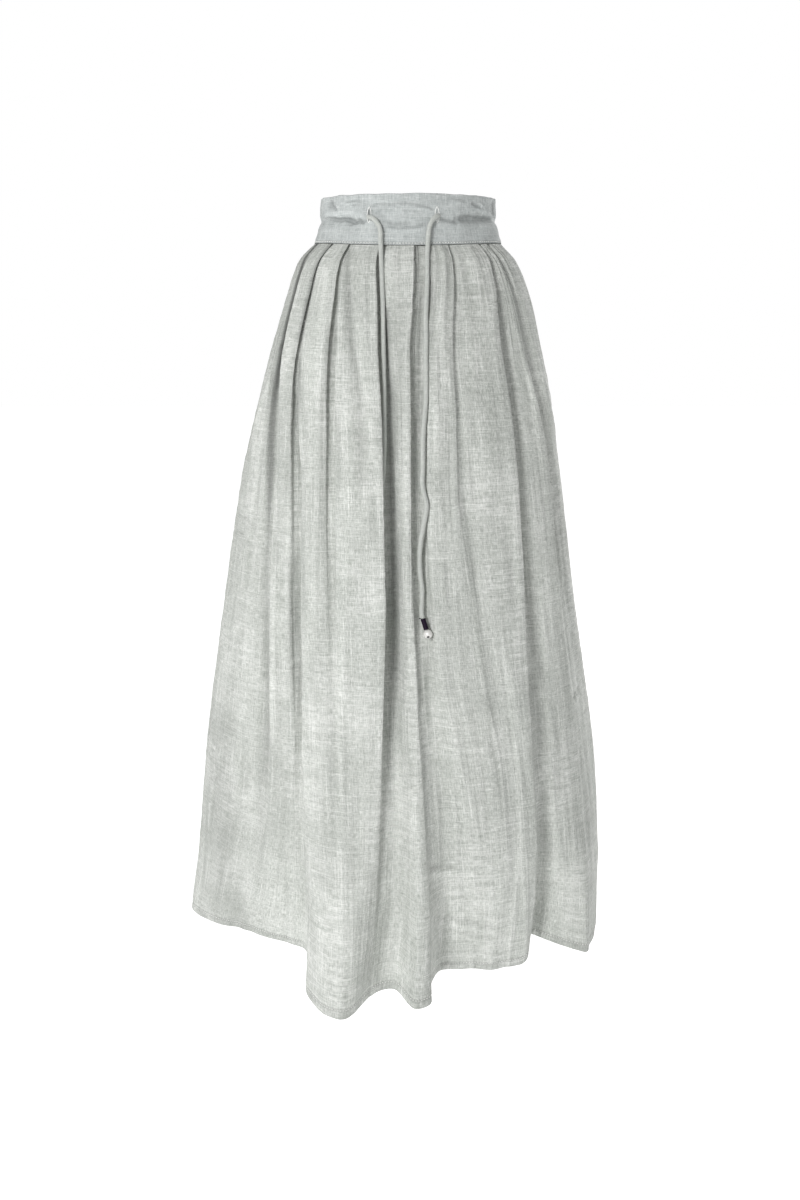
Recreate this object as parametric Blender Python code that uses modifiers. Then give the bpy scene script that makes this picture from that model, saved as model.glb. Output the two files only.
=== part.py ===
"""Drawstring skirt: a long pleated skirt of slubby linen, filled out as worn.

Metres, +Z up, front facing -Y. The origin is the middle of the waist at the
height of the drawstring, where the wearer holds the skirt up.

A turn is an angle round the skirt in degrees: 0 at the front centre, 90 at
the wearer's left side (+X), 180 at the back centre. A stand is how far the
cloth lies outside (+) or inside (-) the smooth body of the skirt, in mm.
A drop is a distance down from the waist seam.
"""
import math
from collections import namedtuple

import bmesh
import bpy
import numpy as np
from mathutils import Vector

# Driving dimensions of the cloth
SKIRT_LENGTH = 0.940          # waist seam to hem
CLOTH = 0.0012                # pleated linen, one layer
BAND_CLOTH = 0.0016           # waistband, two layers stitched
LINING_CLOTH = 0.0010
SEAM_GAP = 0.0003             # between sewn pieces
FLARE_ROOM = 0.0005           # the flaring panel's upper edge leans this far upwards
SIDE_GAP_TURN = 0.09          # degrees kept free each side of a side seam

# Waistband
BAND_TOP = 0.030              # above the drawstring
SEAM_FRONT = -0.030           # height of the waist seam at the front centre
SEAM_RISE = 0.006             # the seam runs this much higher at the sides and back
SEAM_RISE_FADE = 0.14         # drop over which that rise dies out
HEM_UNEVEN = 0.13             # the hem hangs this share of its stand lower
HEM_UNEVEN_FROM = 0.60        # drop at which that unevenness starts
PINCH_DEPTH = 0.0024          # the drawn cord pinches the band at its height
PINCH_HALF_HEIGHT = 0.0045
PINCH_CLEAR_TURN = 27.0       # no pinch between the two eyelets
PINCH_BLEND_TURN = 12.0
BAND_FACES_ROUND = 30
BAND_GAP_TURN = 0.12          # degrees kept free each side of its side seams
EYELET_CENTRE = -0.0065       # the band is turned a little on its wearer
EYELET_SPACING = 0.090
EYELET_HEIGHT = 0.018
EYELET_WIDTH = 0.0082
EYELET_Z = 0.0055
EYELET_FRONT = -0.0796        # where the band's front lies at the eyelets
EYELET_SIDES = 20
CUTTER_REACH = 0.040

# Drawstring
CORD_DIAMETER = 0.006
CORD_CURVE_STEPS = 12         # points on each span of the route, before they are spaced
CORD_POINTS = 38              # points on each cord tube
CORD_CROWDING = 1.4           # crowds them towards the eyelet, where the cord bends
SLEEVE_DIAMETER = 0.0066
SLEEVE_LENGTH = 0.0135
SLEEVE_SIDES = 16
BEAD_DIAMETER = 0.0116
BEAD_SEGMENTS = 16
BEAD_RINGS = 10
END_GAP = 0.0003              # cord to sleeve and sleeve to bead
SLEEVE_TILT_ROOM = 0.0007     # the sleeve's face is not quite square to the cord's

# Lining
LINING_FACES_ROUND = 30

# Pleats
RING_STEPS = 2                # points on each span of a ring of cloth
TUCK_TURN_SHARE = 0.35        # how far round to the floor an edge's tucked point lies
TUCK_STAND_SHARE = 0.5        # and how far in

SectionRow = namedtuple("SectionRow", "drop half_width front back shift")
SECTIONS = (
    SectionRow(0.000, 0.1215, 0.0885, 0.0860, 0.000),
    SectionRow(0.020, 0.1420, 0.1000, 0.0980, 0.000),
    SectionRow(0.060, 0.1600, 0.1130, 0.1130, 0.001),
    SectionRow(0.120, 0.1780, 0.1280, 0.1300, -0.001),
    SectionRow(0.190, 0.1960, 0.1430, 0.1460, -0.003),
    SectionRow(0.280, 0.2150, 0.1600, 0.1640, -0.008),
    SectionRow(0.460, 0.2450, 0.1910, 0.1930, -0.011),
    SectionRow(0.680, 0.2810, 0.2240, 0.2240, -0.010),
    SectionRow(0.810, 0.2950, 0.2400, 0.2390, -0.012),
    SectionRow(0.940, 0.3050, 0.2520, 0.2500, -0.022),
)

# Rows of the cloth between the waist seam and the hem, closest where it swells
CLOTH_DROPS = (0.0, 0.010, 0.025, 0.050, 0.085, 0.125, 0.170, 0.225, 0.290,
               0.360, 0.430, 0.505, 0.585, 0.670, 0.760, 0.850, 0.940)

# Drops of the named levels in the fold tables
LEVELS = dict(seam=0.0, hip=0.12, thigh=0.28, knee=0.46, calf=0.68, hem=0.94)

# kind: "right" and "left" are crisp pleat edges that face that way and fold
# back under themselves; "soft" is a crown, a slope or a floor. tuck is that
# fold-back in mm, turns in degrees and stands in mm, each at the six levels.
Fold = namedtuple("Fold", "name kind tuck turns stands")
FRONT_FOLDS = (
    Fold("side crown", "soft", None, (-79, -79, -77, -75, -76, -79), (0, 0, 0, 0, 0, -4)),
    Fold("A slope", "soft", None, (-72, -71, -61, -56, -52, -66), (-2, -4, -8, -9, -9, -27)),
    Fold("A floor", "soft", None, (-67, -65, -52, -47, -43, -58), (-5, -9, -14, -14, -13, -43)),
    Fold("A edge", "left", (3, 4, 4, 3, 1, 0), (-65, -62, -48, -43, -38, -51), (0, 0, 0, 0, -4, -48)),
    Fold("one crown", "soft", None, (-58, -57, -46, -40, -34.5, -43), (1, 2, 1, -2, -6, -50)),
    Fold("B edge", "right", (3, 5, 4, 1, 0, 0), (-52, -51.5, -43, -36.5, -31, -34), (0, 0, -1, -6, -9, -54)),
    Fold("B floor", "soft", None, (-51, -49.3, -39, -33, -28.5, -27), (-5, -11, -14, -12, -12, -52)),
    Fold("two edge", "left", (3, 5, 5, 4, 3, 4), (-50, -47.5, -36, -30.5, -26, -20), (0, 0, 0, 0, 2, 11)),
    Fold("two crown", "soft", None, (-43, -40, -30, -26, -21.5, -15), (1, 2, 3, 3, 8, 40)),
    Fold("C edge", "right", (3, 4, 3, 0, 0, 0), (-37.5, -33, -26, -21.5, -17.5, -12), (0, 0, 0, 1, 10, 46)),
    Fold("C floor", "soft", None, (-36.8, -31.6, -24, -20, -15.8, -10.8), (-5, -9, -8, -3, 9, 47)),
    Fold("three edge", "left", (3, 3, 2, 0, 0, 0), (-36, -30, -22, -18.3, -14, -9.6), (0, 0, 0, 1, 10, 45)),
    Fold("three crown", "soft", None, (-27, -21, -14, -11, -9.5, -8), (1, 2, 3, 3, 9, 34)),
    Fold("D edge", "right", (4, 9, 16, 22, 8, 0), (-17.1, -12, -6, -4, -5, -5.8), (0, 1, 2, 2, 4, 9)),
    Fold("D floor", "soft", None, (-15.5, -9.5, -3.2, -1.2, -1.2, -2.5), (-6, -17, -25, -27, -15, -8)),
    Fold("D slope", "soft", None, (-12.5, -6.5, -1.2, 0.4, 1.2, 0.8), (-3, -9, -12, -11, -6, -10)),
    Fold("four crown", "soft", None, (-5, -2.6, 1, 2.4, 3.6, 5.4), (0, 1, 0, 0, 3, 26)),
    Fold("E edge", "right", (3, 6, 8, 6, 5, 4), (3.5, 1, 3, 4.2, 5.8, 9.2), (0, 0, 0, 0, 2, 19)),
    Fold("E floor", "soft", None, (6.5, 4.6, 6, 8, 11, 14), (-5, -11, -14, -14, -14, -40)),
    Fold("five edge", "left", (3, 5, 3, 0, 0, 0), (11.7, 8.2, 8, 10.5, 16, 23), (0, 0, 0, -2, -8, -34)),
    Fold("five crown", "soft", None, (18, 13, 14, 16, 21, 27), (1, 2, 2, 0, -4, -25)),
    Fold("G edge", "right", (3, 4, 4, 1, 0, 0), (23.7, 18.2, 19, 21, 25, 30), (0, 0, 0, 0, -2, -22)),
    Fold("G floor", "soft", None, (25, 19.8, 20.8, 24, 28.2, 33), (-4, -9, -8, -5, -4, -20)),
    Fold("G slope", "soft", None, (27.5, 23, 24.5, 27.5, 31, 35.2), (-1, -3, -2, -1, -1, -18)),
    Fold("six crown", "soft", None, (37, 33, 34, 34, 34.5, 39), (1, 2, 3, 3, 2, -16)),
    Fold("H edge", "right", (3, 6, 9, 8, 6, 4), (46, 41, 42.5, 41, 38.5, 43), (0, 0, 1, 2, 2, -22)),
    Fold("H floor", "soft", None, (47.2, 44, 46, 46, 44.5, 50), (-5, -12, -17, -18, -17, -50)),
    Fold("H slope", "soft", None, (50, 49, 51, 50.5, 49, 52.5), (-2, -6, -8, -8, -7, -14)),
    Fold("I edge", "right", (2, 3, 4, 2, 0, 0), (54, 56, 63.5, 62, 59, 57), (0, 0, 0, 0, 2, 21)),
    Fold("I floor", "soft", None, (55.5, 58, 66.5, 67, 66, 66), (-4, -6, -7, -5, -2, 13)),
    Fold("side slope", "soft", None, (64, 68, 74, 76, 76, 77), (0, 0, 0, 0, 0, 4)),
)

# The back has the same knife pleats, evenly laid. Turns count from the back
# centre, + towards the wearer's right; a lobe is how far the crown beside the
# pleat swings out at the hem.
BackPleat = namedtuple("BackPleat", "name facing seam thigh hem depth_hip depth_knee depth_hem lobe")
BACK_PLEATS = (
    BackPleat("a", "left", -64, -62, -60, 9, 14, 34, 22),
    BackPleat("b", "left", -40, -41, -38, 10, 16, 46, 30),
    BackPleat("c", "left", -17, -18, -14, 12, 18, 40, 18),
    BackPleat("d", "right", 8, 9, 11, 12, 18, 44, 28),
    BackPleat("e", "right", 29, 30, 35, 10, 15, 48, 24),
    BackPleat("f", "right", 49, 53, 57, 9, 14, 36, 20),
)
BACK_PLAIN_TURN = 79          # the back is smooth from here to the side seams
BACK_SEAM_DEPTH = 5.0         # mm, where the pleats are sewn flat
BACK_TUCK_SHARE = 0.45        # tuck as a share of the pleat's depth
BACK_TUCK_MOST = 6.0
BACK_CROWN_TURN = 7.0         # degrees from a back pleat's crown to its edge
BACK_EDGE_SHARE = 0.6         # the edge's stand as a share of the crown's
BACK_TUCK_TURN = 0.8          # degrees from its edge to its tucked point
BACK_FLOOR_TURN = 2.4         # from its edge to its floor
BACK_SLOPE_TURN = 6.0         # and to the end of its slope
BACK_SLOPE_SHARE = 0.45       # the slope's depth as a share of the floor's

# Rings of the waistband: height, half width and half depths of its outer face
BandRow = namedtuple("BandRow", "height half_width front back")
BAND_ROWS = (
    BandRow(0.030, 0.1120, 0.0838, 0.0820),
    BandRow(0.022, 0.1124, 0.0844, 0.0826),
    BandRow(0.013, 0.1130, 0.0852, 0.0832),
    BandRow(0.006, 0.1135, 0.0856, 0.0836),
    BandRow(0.000, 0.1142, 0.0862, 0.0840),
    BandRow(-0.006, 0.1152, 0.0868, 0.0844),
    BandRow(-0.015, 0.1175, 0.0876, 0.0852),
    BandRow(-0.030, 0.1213, 0.0884, 0.0859),
)

# Rings of the lining, as drops and outer half sizes. Its top is sewn to the
# inside of the band, the next ring clears the tucks of the pleats, and from
# the hip down it is a straight A-line slip.
LiningRow = namedtuple("LiningRow", "drop half_width front back shift")
LINING_ROWS = (
    LiningRow(-0.0015, 0.1190, 0.0864, 0.0839, 0.000),
    LiningRow(0.001, 0.1140, 0.0810, 0.0785, 0.000),
    LiningRow(0.050, 0.1390, 0.0925, 0.0930, 0.000),
    LiningRow(0.120, 0.1570, 0.1040, 0.1090, -0.001),
    LiningRow(0.815, 0.2320, 0.1740, 0.1820, -0.012),
)

# Route of each cord's middle line from its eyelet down: x, y, z in mm. The left
# cord slides behind the third panel's edge, the right one lies over the fifth's.
LEFT_ROUTE = (
    (-51.6, -75.2, 5.2), (-51.2, -77.6, 5.3), (-49.6, -80.4, 4.9), (-46.8, -82.8, 3.8),
    (-43.0, -84.6, 1.4), (-38.9, -86.0, -2.4), (-35.7, -87.6, -8.0), (-34.3, -88.6, -14.0),
    (-34.0, -89.4, -27.0), (-33.6, -92.4, -41.0), (-32.8, -97.6, -60.0), (-32.2, -101.2, -75.0),
    (-31.4, -107.0, -106.0), (-30.8, -116.5, -150.0), (-30.2, -124.5, -190.0), (-29.8, -135.0, -238.0),
    (-29.9, -142.0, -270.0), (-31.0, -147.5, -300.0), (-33.5, -151.2, -325.0), (-35.2, -158.2, -360.0),
    (-35.4, -166.6, -410.0), (-35.2, -171.0, -437.0), (-35.1, -172.4, -450.0),
)
RIGHT_ROUTE = (
    (38.6, -79.2, 4.8), (38.1, -81.8, 4.9), (36.2, -84.8, 4.1), (32.8, -87.0, 1.8), (28.7, -88.6, -2.2),
    (25.9, -89.6, -7.5), (24.7, -90.4, -14.0), (23.6, -91.4, -27.0), (22.9, -95.6, -41.0),
    (22.9, -104.3, -67.0), (22.2, -110.0, -88.0), (21.2, -118.0, -113.0), (21.3, -126.3, -139.0),
    (21.1, -132.3, -163.0), (21.3, -138.2, -190.0), (21.0, -143.6, -218.0), (18.3, -147.5, -247.0),
    (17.7, -152.5, -273.0), (17.6, -157.5, -297.0), (16.9, -160.3, -310.0), (18.6, -163.8, -322.0),
    (22.2, -167.5, -336.0), (21.3, -169.5, -349.0), (18.3, -170.0, -365.0), (15.3, -170.0, -384.0),
    (14.0, -170.8, -404.0), (14.7, -172.5, -423.0), (17.2, -174.5, -441.0), (17.0, -177.0, -459.0),
    (16.5, -179.0, -470.0), (16.9, -180.0, -475.0), (18.3, -181.4, -479.2),
)
# Which way each sleeve and bead hangs from the cord's end, as a direction
LEFT_HANG = (0.05, -0.10, -1.0)
RIGHT_HANG = (0.33, -0.30, -1.0)

# Colours: pale grey-green linen, dark plum sleeve, pearl bead
LINEN = (0.62, 0.64, 0.60, 1.0)
BAND_LINEN = (0.58, 0.61, 0.60, 1.0)
LINING_CLOTH_COLOUR = (0.66, 0.67, 0.64, 1.0)
CORD_CLOTH = (0.66, 0.67, 0.64, 1.0)
PLUM = (0.030, 0.015, 0.035, 1.0)
PEARL = (0.83, 0.82, 0.80, 1.0)


def smooth_between(knots, values, at):
    """A curve through values at knots that never overshoots them (monotone cubic)."""
    x = np.asarray(knots, float)
    y = np.asarray(values, float)
    at = np.asarray(at, float)
    step = np.diff(x)
    slope = np.diff(y) / step
    tangent = np.zeros(len(x))
    tangent[0], tangent[-1] = slope[0], slope[-1]
    for k in range(1, len(x) - 1):
        if slope[k - 1] * slope[k] > 0:
            before = 2 * step[k] + step[k - 1]
            after = step[k] + 2 * step[k - 1]
            tangent[k] = (before + after) / (before / slope[k - 1] + after / slope[k])
    k = np.clip(np.searchsorted(x, at, side="right") - 1, 0, len(x) - 2)
    t = (at - x[k]) / step[k]
    return (y[k] * (1 + 2 * t) * (1 - t) ** 2 + tangent[k] * step[k] * t * (1 - t) ** 2
            + y[k + 1] * t * t * (3 - 2 * t) + tangent[k + 1] * step[k] * t * t * (t - 1))


def column(rows, field):
    return [getattr(row, field) for row in rows]


def at_levels(values, drop):
    return float(smooth_between(list(LEVELS.values()), values, drop))


def oval(turn, half_width, front, back, shift):
    """Point, outward normal and forward tangent of an oval ring at a turn."""
    angle = np.radians(turn)
    depth = np.where(np.cos(angle) > 0, front, back)
    point = np.stack([shift + half_width * np.sin(angle), -depth * np.cos(angle)], -1)
    normal = np.stack([np.sin(angle) / half_width, -np.cos(angle) / depth], -1)
    normal /= np.linalg.norm(normal, axis=-1, keepdims=True)
    tangent = np.stack([-normal[..., 1], normal[..., 0]], -1)
    return point, normal, tangent


def body_at(drop):
    """Sizes of the smooth body of the skirt at a drop."""
    return [float(smooth_between(column(SECTIONS, "drop"), column(SECTIONS, field), drop))
            for field in ("half_width", "front", "back", "shift")]


def seam_rise(turn, drop):
    """How much higher than at the front centre the cloth lies, near the seam."""
    angle = np.radians(turn)
    share = np.where(np.cos(angle) > 0, np.sin(angle) ** 2, 1.0)
    fade = max(0.0, 1 - drop / SEAM_RISE_FADE) ** 2
    return SEAM_RISE * share * fade


def front_stations(drop):
    """Turn, slide and stand of each point that the front's ring passes at a drop."""
    stations = [(-90 + SIDE_GAP_TURN, 0.0, 0.0)]
    lines = FRONT_FOLDS
    for index, line in enumerate(lines):
        turn = at_levels(line.turns, drop)
        stand = at_levels(line.stands, drop)
        if line.kind == "soft":
            stations.append((turn, 0.0, stand))
            continue
        tuck = at_levels(line.tuck, drop)
        beside = lines[index + 1] if line.kind == "right" else lines[index - 1]
        floor_stand = at_levels(beside.stands, drop)
        floor_turn = at_levels(beside.turns, drop)
        tucked = (turn + TUCK_TURN_SHARE * (floor_turn - turn),
                  -tuck if line.kind == "right" else tuck,
                  stand + TUCK_STAND_SHARE * (floor_stand - stand))
        edge = (turn, 0.0, stand)
        stations += [edge, tucked] if line.kind == "right" else [tucked, edge]
    stations.append((90 - SIDE_GAP_TURN, 0.0, 0.0))
    return stations


def back_stations(drop):
    """The same for the back, from the wearer's left side seam round to the right."""
    pleats = []
    for pleat in BACK_PLEATS:
        edge_turn = float(smooth_between((0, LEVELS["thigh"], SKIRT_LENGTH),
                                         (pleat.seam, pleat.thigh, pleat.hem), drop))
        depths = (BACK_SEAM_DEPTH, pleat.depth_hip, pleat.depth_knee, pleat.depth_hem)
        depth = float(smooth_between((0, LEVELS["hip"], LEVELS["knee"], SKIRT_LENGTH), depths, drop))
        lobe = float(smooth_between((0, LEVELS["knee"], SKIRT_LENGTH), (0, 1, pleat.lobe), drop))
        tuck = min(BACK_TUCK_MOST, BACK_TUCK_SHARE * depth)
        way = 1 if pleat.facing == "right" else -1
        edge = BACK_EDGE_SHARE * lobe
        line = [(edge_turn - way * BACK_CROWN_TURN, 0.0, lobe),
                (edge_turn, 0.0, edge),
                (edge_turn + way * BACK_TUCK_TURN, -way * tuck, edge - TUCK_STAND_SHARE * depth),
                (edge_turn + way * BACK_FLOOR_TURN, 0.0, lobe - depth),
                (edge_turn + way * BACK_SLOPE_TURN, 0.0, BACK_SLOPE_SHARE * (lobe - depth))]
        pleats += line if way > 0 else line[::-1]
    stations = [(-90 + SIDE_GAP_TURN, 0.0, 0.0), (-BACK_PLAIN_TURN, 0.0, 0.0)]
    stations += pleats
    stations += [(BACK_PLAIN_TURN, 0.0, 0.0), (90 - SIDE_GAP_TURN, 0.0, 0.0)]
    return [(turn + 180, slide, stand) for turn, slide, stand in stations]


def curve_through(points, steps):
    """Centripetal Catmull-Rom curve: steps points on each span, and the last point."""
    ends = [2 * points[0] - points[1], 2 * points[-1] - points[-2]]
    p = np.vstack([ends[0], points, ends[1]])
    result = []
    for k in range(1, len(p) - 2):
        knots = [0.0]
        for a, b in ((k - 1, k), (k, k + 1), (k + 1, k + 2)):
            knots.append(knots[-1] + max(1e-6, np.linalg.norm(p[b] - p[a])) ** 0.5)
        t0, t1, t2, t3 = knots
        for t in np.linspace(t1, t2, steps, endpoint=False):
            a1 = (t1 - t) / (t1 - t0) * p[k - 1] + (t - t0) / (t1 - t0) * p[k]
            a2 = (t2 - t) / (t2 - t1) * p[k] + (t - t1) / (t2 - t1) * p[k + 1]
            a3 = (t3 - t) / (t3 - t2) * p[k + 1] + (t - t2) / (t3 - t2) * p[k + 2]
            b1 = (t2 - t) / (t2 - t0) * a1 + (t - t0) / (t2 - t0) * a2
            b2 = (t3 - t) / (t3 - t1) * a2 + (t - t1) / (t3 - t1) * a3
            result.append((t2 - t) / (t2 - t1) * b1 + (t - t1) / (t2 - t1) * b2)
    result.append(p[-2])
    return np.array(result)


def panel_ring(stations, drop, steps):
    """The cloth's ring at a drop, as points in space."""
    half_width, front, back, shift = body_at(drop)
    turn, slide, stand = np.array(stations).T
    point, normal, tangent = oval(turn, half_width, front, back, shift)
    flat = point + normal * stand[:, None] / 1000 + tangent * slide[:, None] / 1000
    ring = curve_through(flat, steps)
    across, along = (ring[:, 0] - shift) / half_width, -ring[:, 1] / front
    rise = seam_rise(np.degrees(np.arctan2(across, along)), drop)
    height = SEAM_FRONT - SEAM_GAP - FLARE_ROOM - drop + rise
    stand_out = (np.hypot(across, along) - 1) * front
    uneven = HEM_UNEVEN * max(0.0, (drop - HEM_UNEVEN_FROM) / (SKIRT_LENGTH - HEM_UNEVEN_FROM)) ** 2
    return np.column_stack([ring, height - uneven * stand_out])


def make_material(name, colour, roughness, metallic=0.0):
    material = bpy.data.materials.new(name)
    material.use_nodes = True
    shader = material.node_tree.nodes["Principled BSDF"]
    shader.inputs["Base Color"].default_value = colour
    shader.inputs["Roughness"].default_value = roughness
    shader.inputs["Metallic"].default_value = metallic
    return material


def add_object(name, data, material, collection):
    piece = bpy.data.objects.new(name, data)
    piece.data.materials.append(material)
    collection.objects.link(piece)
    return piece


def sheet_mesh(name, rings):
    """An open sheet lofted through rings, listed from the top down, faces out."""
    mesh = bpy.data.meshes.new(name)
    sheet = bmesh.new()
    rows = [[sheet.verts.new(point) for point in ring] for ring in rings]
    for upper, lower in zip(rows, rows[1:]):
        for k in range(len(upper) - 1):
            sheet.faces.new((upper[k], lower[k], lower[k + 1], upper[k + 1]))
    sheet.to_mesh(mesh)
    sheet.free()
    mesh.shade_smooth()
    return mesh


def thicken(piece, thickness, offset):
    """Give a sheet its cloth's thickness; offset -1 grows inwards only."""
    wall = piece.modifiers.new("cloth thickness", "SOLIDIFY")
    wall.thickness = thickness
    wall.offset = offset
    return wall


def build_panels(collection):
    linen = make_material("pleated linen", LINEN, 0.85)
    for name, stations_at in (("skirt_front", front_stations), ("skirt_back", back_stations)):
        rings = [panel_ring(stations_at(drop), drop, RING_STEPS) for drop in CLOTH_DROPS]
        panel = add_object(name, sheet_mesh(name, rings), linen, collection)
        thicken(panel, CLOTH, 0.0)


def band_ring(row, turns):
    """Outer face of the waistband at one row, pinched where the cord draws it in."""
    inset = PINCH_DEPTH * math.exp(-(row.height / PINCH_HALF_HEIGHT) ** 2)
    clear = np.clip((np.abs(turns) - PINCH_CLEAR_TURN) / PINCH_BLEND_TURN, 0, 1)
    point, normal, _ = oval(turns, row.half_width, row.front, row.back, 0.0)
    point = point - normal * (inset * clear)[:, None]
    share = (BAND_TOP - row.height) / (BAND_TOP - SEAM_FRONT)
    height = row.height + share ** 2 * seam_rise(turns, 0.0)
    return np.column_stack([point, height])


def eyelet_x(side):
    return EYELET_CENTRE + side * EYELET_SPACING / 2


def cut_eyelets(band, cutters):
    """Two upright lens-shaped slits in the front of the band for the cord."""
    for side, label in ((-1, "left"), (1, "right")):
        bpy.ops.mesh.primitive_cylinder_add(vertices=EYELET_SIDES, radius=0.5, depth=CUTTER_REACH)
        cutter = bpy.context.object
        cutter.name = "eyelet_cutter_" + label
        cutter.scale = (EYELET_WIDTH, EYELET_HEIGHT, 1.0)
        cutter.rotation_euler = (math.radians(90), 0.0, 0.0)
        cutter.location = (eyelet_x(side), EYELET_FRONT, EYELET_Z)
        bpy.ops.object.transform_apply(location=False, rotation=True, scale=True)
        cutter.hide_render = True
        cutter.display_type = "WIRE"
        for owner in list(cutter.users_collection):
            owner.objects.unlink(cutter)
        cutters.objects.link(cutter)
        cut = band.modifiers.new("eyelet " + label, "BOOLEAN")
        cut.operation = "DIFFERENCE"
        cut.object = cutter


def build_waistband(collection, cutters):
    linen = make_material("waistband linen", BAND_LINEN, 0.8)
    for name, middle in (("waistband_front", 0.0), ("waistband_back", 180.0)):
        reach = 90 - BAND_GAP_TURN
        turns = np.linspace(middle - reach, middle + reach, BAND_FACES_ROUND + 1)
        wrapped = (turns + 180) % 360 - 180
        rings = [band_ring(row, wrapped) for row in BAND_ROWS]
        band = add_object(name, sheet_mesh(name, rings), linen, collection)
        thicken(band, BAND_CLOTH, -1.0)
        if middle == 0:
            cut_eyelets(band, cutters)


def build_lining(collection):
    """The plain inner skirt, which shows through the linen and stops short of the hem."""
    cotton = make_material("lining cotton", LINING_CLOTH_COLOUR, 0.8)
    for name, middle in (("lining_front", 0.0), ("lining_back", 180.0)):
        reach = 90 - BAND_GAP_TURN
        turns = np.linspace(middle - reach, middle + reach, LINING_FACES_ROUND + 1)
        rings = []
        for row in LINING_ROWS:
            point, _, _ = oval(turns, row.half_width, row.front, row.back, row.shift)
            wrapped = (turns + 180) % 360 - 180
            height = SEAM_FRONT - row.drop + seam_rise(wrapped, row.drop)
            rings.append(np.column_stack([point, height]))
        lining = add_object(name, sheet_mesh(name, rings), cotton, collection)
        thicken(lining, LINING_CLOTH, -1.0)


def cord_points(route):
    """Points a few millimetres apart along a smooth curve through the route."""
    smooth = curve_through(np.array(route) / 1000, CORD_CURVE_STEPS)
    along = np.concatenate([[0], np.cumsum(np.linalg.norm(np.diff(smooth, axis=0), axis=1))])
    share = np.linspace(0, 1, CORD_POINTS) ** CORD_CROWDING
    return np.column_stack([np.interp(share * along[-1], along, smooth[:, k]) for k in range(3)])


def build_cord(label, route, hang, materials, collection):
    """One free end of the drawstring: fabric cord, plum sleeve and pearl bead."""
    points = cord_points(route)
    curve = bpy.data.curves.new("cord_" + label, "CURVE")
    curve.dimensions = "3D"
    curve.bevel_depth = CORD_DIAMETER / 2
    curve.bevel_resolution = 2
    curve.use_fill_caps = True
    spline = curve.splines.new("POLY")
    spline.points.add(len(points) - 1)
    for slot, point in zip(spline.points, points):
        slot.co = (*point, 1.0)
    add_object("cord_" + label, curve, materials["cord"], collection)

    down = Vector(hang).normalized()
    turn = Vector((0, 0, -1)).rotation_difference(down)
    sleeve_middle = Vector(points[-1]) + down * (END_GAP + SLEEVE_TILT_ROOM + SLEEVE_LENGTH / 2)
    bead_middle = sleeve_middle + down * (SLEEVE_LENGTH / 2 + END_GAP + BEAD_DIAMETER / 2)
    bpy.ops.mesh.primitive_cylinder_add(vertices=SLEEVE_SIDES, radius=SLEEVE_DIAMETER / 2,
                                        depth=SLEEVE_LENGTH)
    finish_primitive("cord_sleeve_" + label, sleeve_middle, turn, materials["sleeve"], collection)
    bpy.ops.mesh.primitive_uv_sphere_add(segments=BEAD_SEGMENTS, ring_count=BEAD_RINGS,
                                         radius=BEAD_DIAMETER / 2)
    finish_primitive("cord_bead_" + label, bead_middle, turn, materials["bead"], collection)


def finish_primitive(name, place, turn, material, collection):
    """Name, place and colour the primitive that was just added."""
    piece = bpy.context.object
    piece.name = name
    piece.data.name = name
    piece.data.materials.append(material)
    piece.data.shade_smooth()
    piece.data.set_sharp_from_angle(angle=math.radians(40))
    piece.location = place
    piece.rotation_mode = "QUATERNION"
    piece.rotation_quaternion = turn
    for owner in list(piece.users_collection):
        owner.objects.unlink(piece)
    collection.objects.link(piece)


def build_drawstring(collection):
    materials = dict(cord=make_material("cord linen", CORD_CLOTH, 0.85),
                     sleeve=make_material("plum sleeve", PLUM, 0.45),
                     bead=make_material("pearl bead", PEARL, 0.2))
    build_cord("left", LEFT_ROUTE, LEFT_HANG, materials, collection)
    build_cord("right", RIGHT_ROUTE, RIGHT_HANG, materials, collection)


def main():
    for old in list(bpy.data.objects):
        bpy.data.objects.remove(old, do_unlink=True)
    skirt = bpy.data.collections.new("drawstring_skirt")
    cutters = bpy.data.collections.new("cutters")
    bpy.context.scene.collection.children.link(skirt)
    bpy.context.scene.collection.children.link(cutters)
    build_panels(skirt)
    build_waistband(skirt, cutters)
    build_lining(skirt)
    build_drawstring(skirt)


main()
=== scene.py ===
"""Looks of the drawstring skirt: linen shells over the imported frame, with folds, creases and sewing.

Metres, +Z up, front facing -Y, origin in the middle of the waist at the drawstring's height. A turn
is an angle round the skirt in degrees, 0 at the front centre and 90 at +X. A stand is how far cloth
lies outside (+) or inside (-) the skirt's smooth body, in mm. A drop is metres down from the seam.
"""
import math
from collections import namedtuple

import bpy
import numpy as np
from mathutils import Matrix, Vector

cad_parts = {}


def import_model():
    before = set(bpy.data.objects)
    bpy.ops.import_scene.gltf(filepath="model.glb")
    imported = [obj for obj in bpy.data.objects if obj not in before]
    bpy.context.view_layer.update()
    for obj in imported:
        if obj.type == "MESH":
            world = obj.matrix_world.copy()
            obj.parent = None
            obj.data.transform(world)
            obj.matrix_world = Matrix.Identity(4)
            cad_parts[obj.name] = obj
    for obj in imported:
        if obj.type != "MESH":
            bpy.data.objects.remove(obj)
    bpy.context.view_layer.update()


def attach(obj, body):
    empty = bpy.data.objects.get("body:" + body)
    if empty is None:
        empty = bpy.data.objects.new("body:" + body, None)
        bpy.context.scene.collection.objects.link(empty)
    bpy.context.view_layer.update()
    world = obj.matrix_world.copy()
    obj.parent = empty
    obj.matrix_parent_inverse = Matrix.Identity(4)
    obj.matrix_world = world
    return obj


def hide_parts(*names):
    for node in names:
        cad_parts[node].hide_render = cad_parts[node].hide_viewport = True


# Driving dimensions of the cloth
SKIRT_LENGTH = 0.940          # waist seam to hem
BAND_CLOTH = 0.0016           # waistband, two layers stitched
SEAM_GAP = 0.0003             # between sewn pieces
FLARE_ROOM = 0.0005           # the flaring panel's upper edge leans this far upwards
SIDE_GAP_TURN = 0.09          # degrees kept free each side of a side seam

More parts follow.
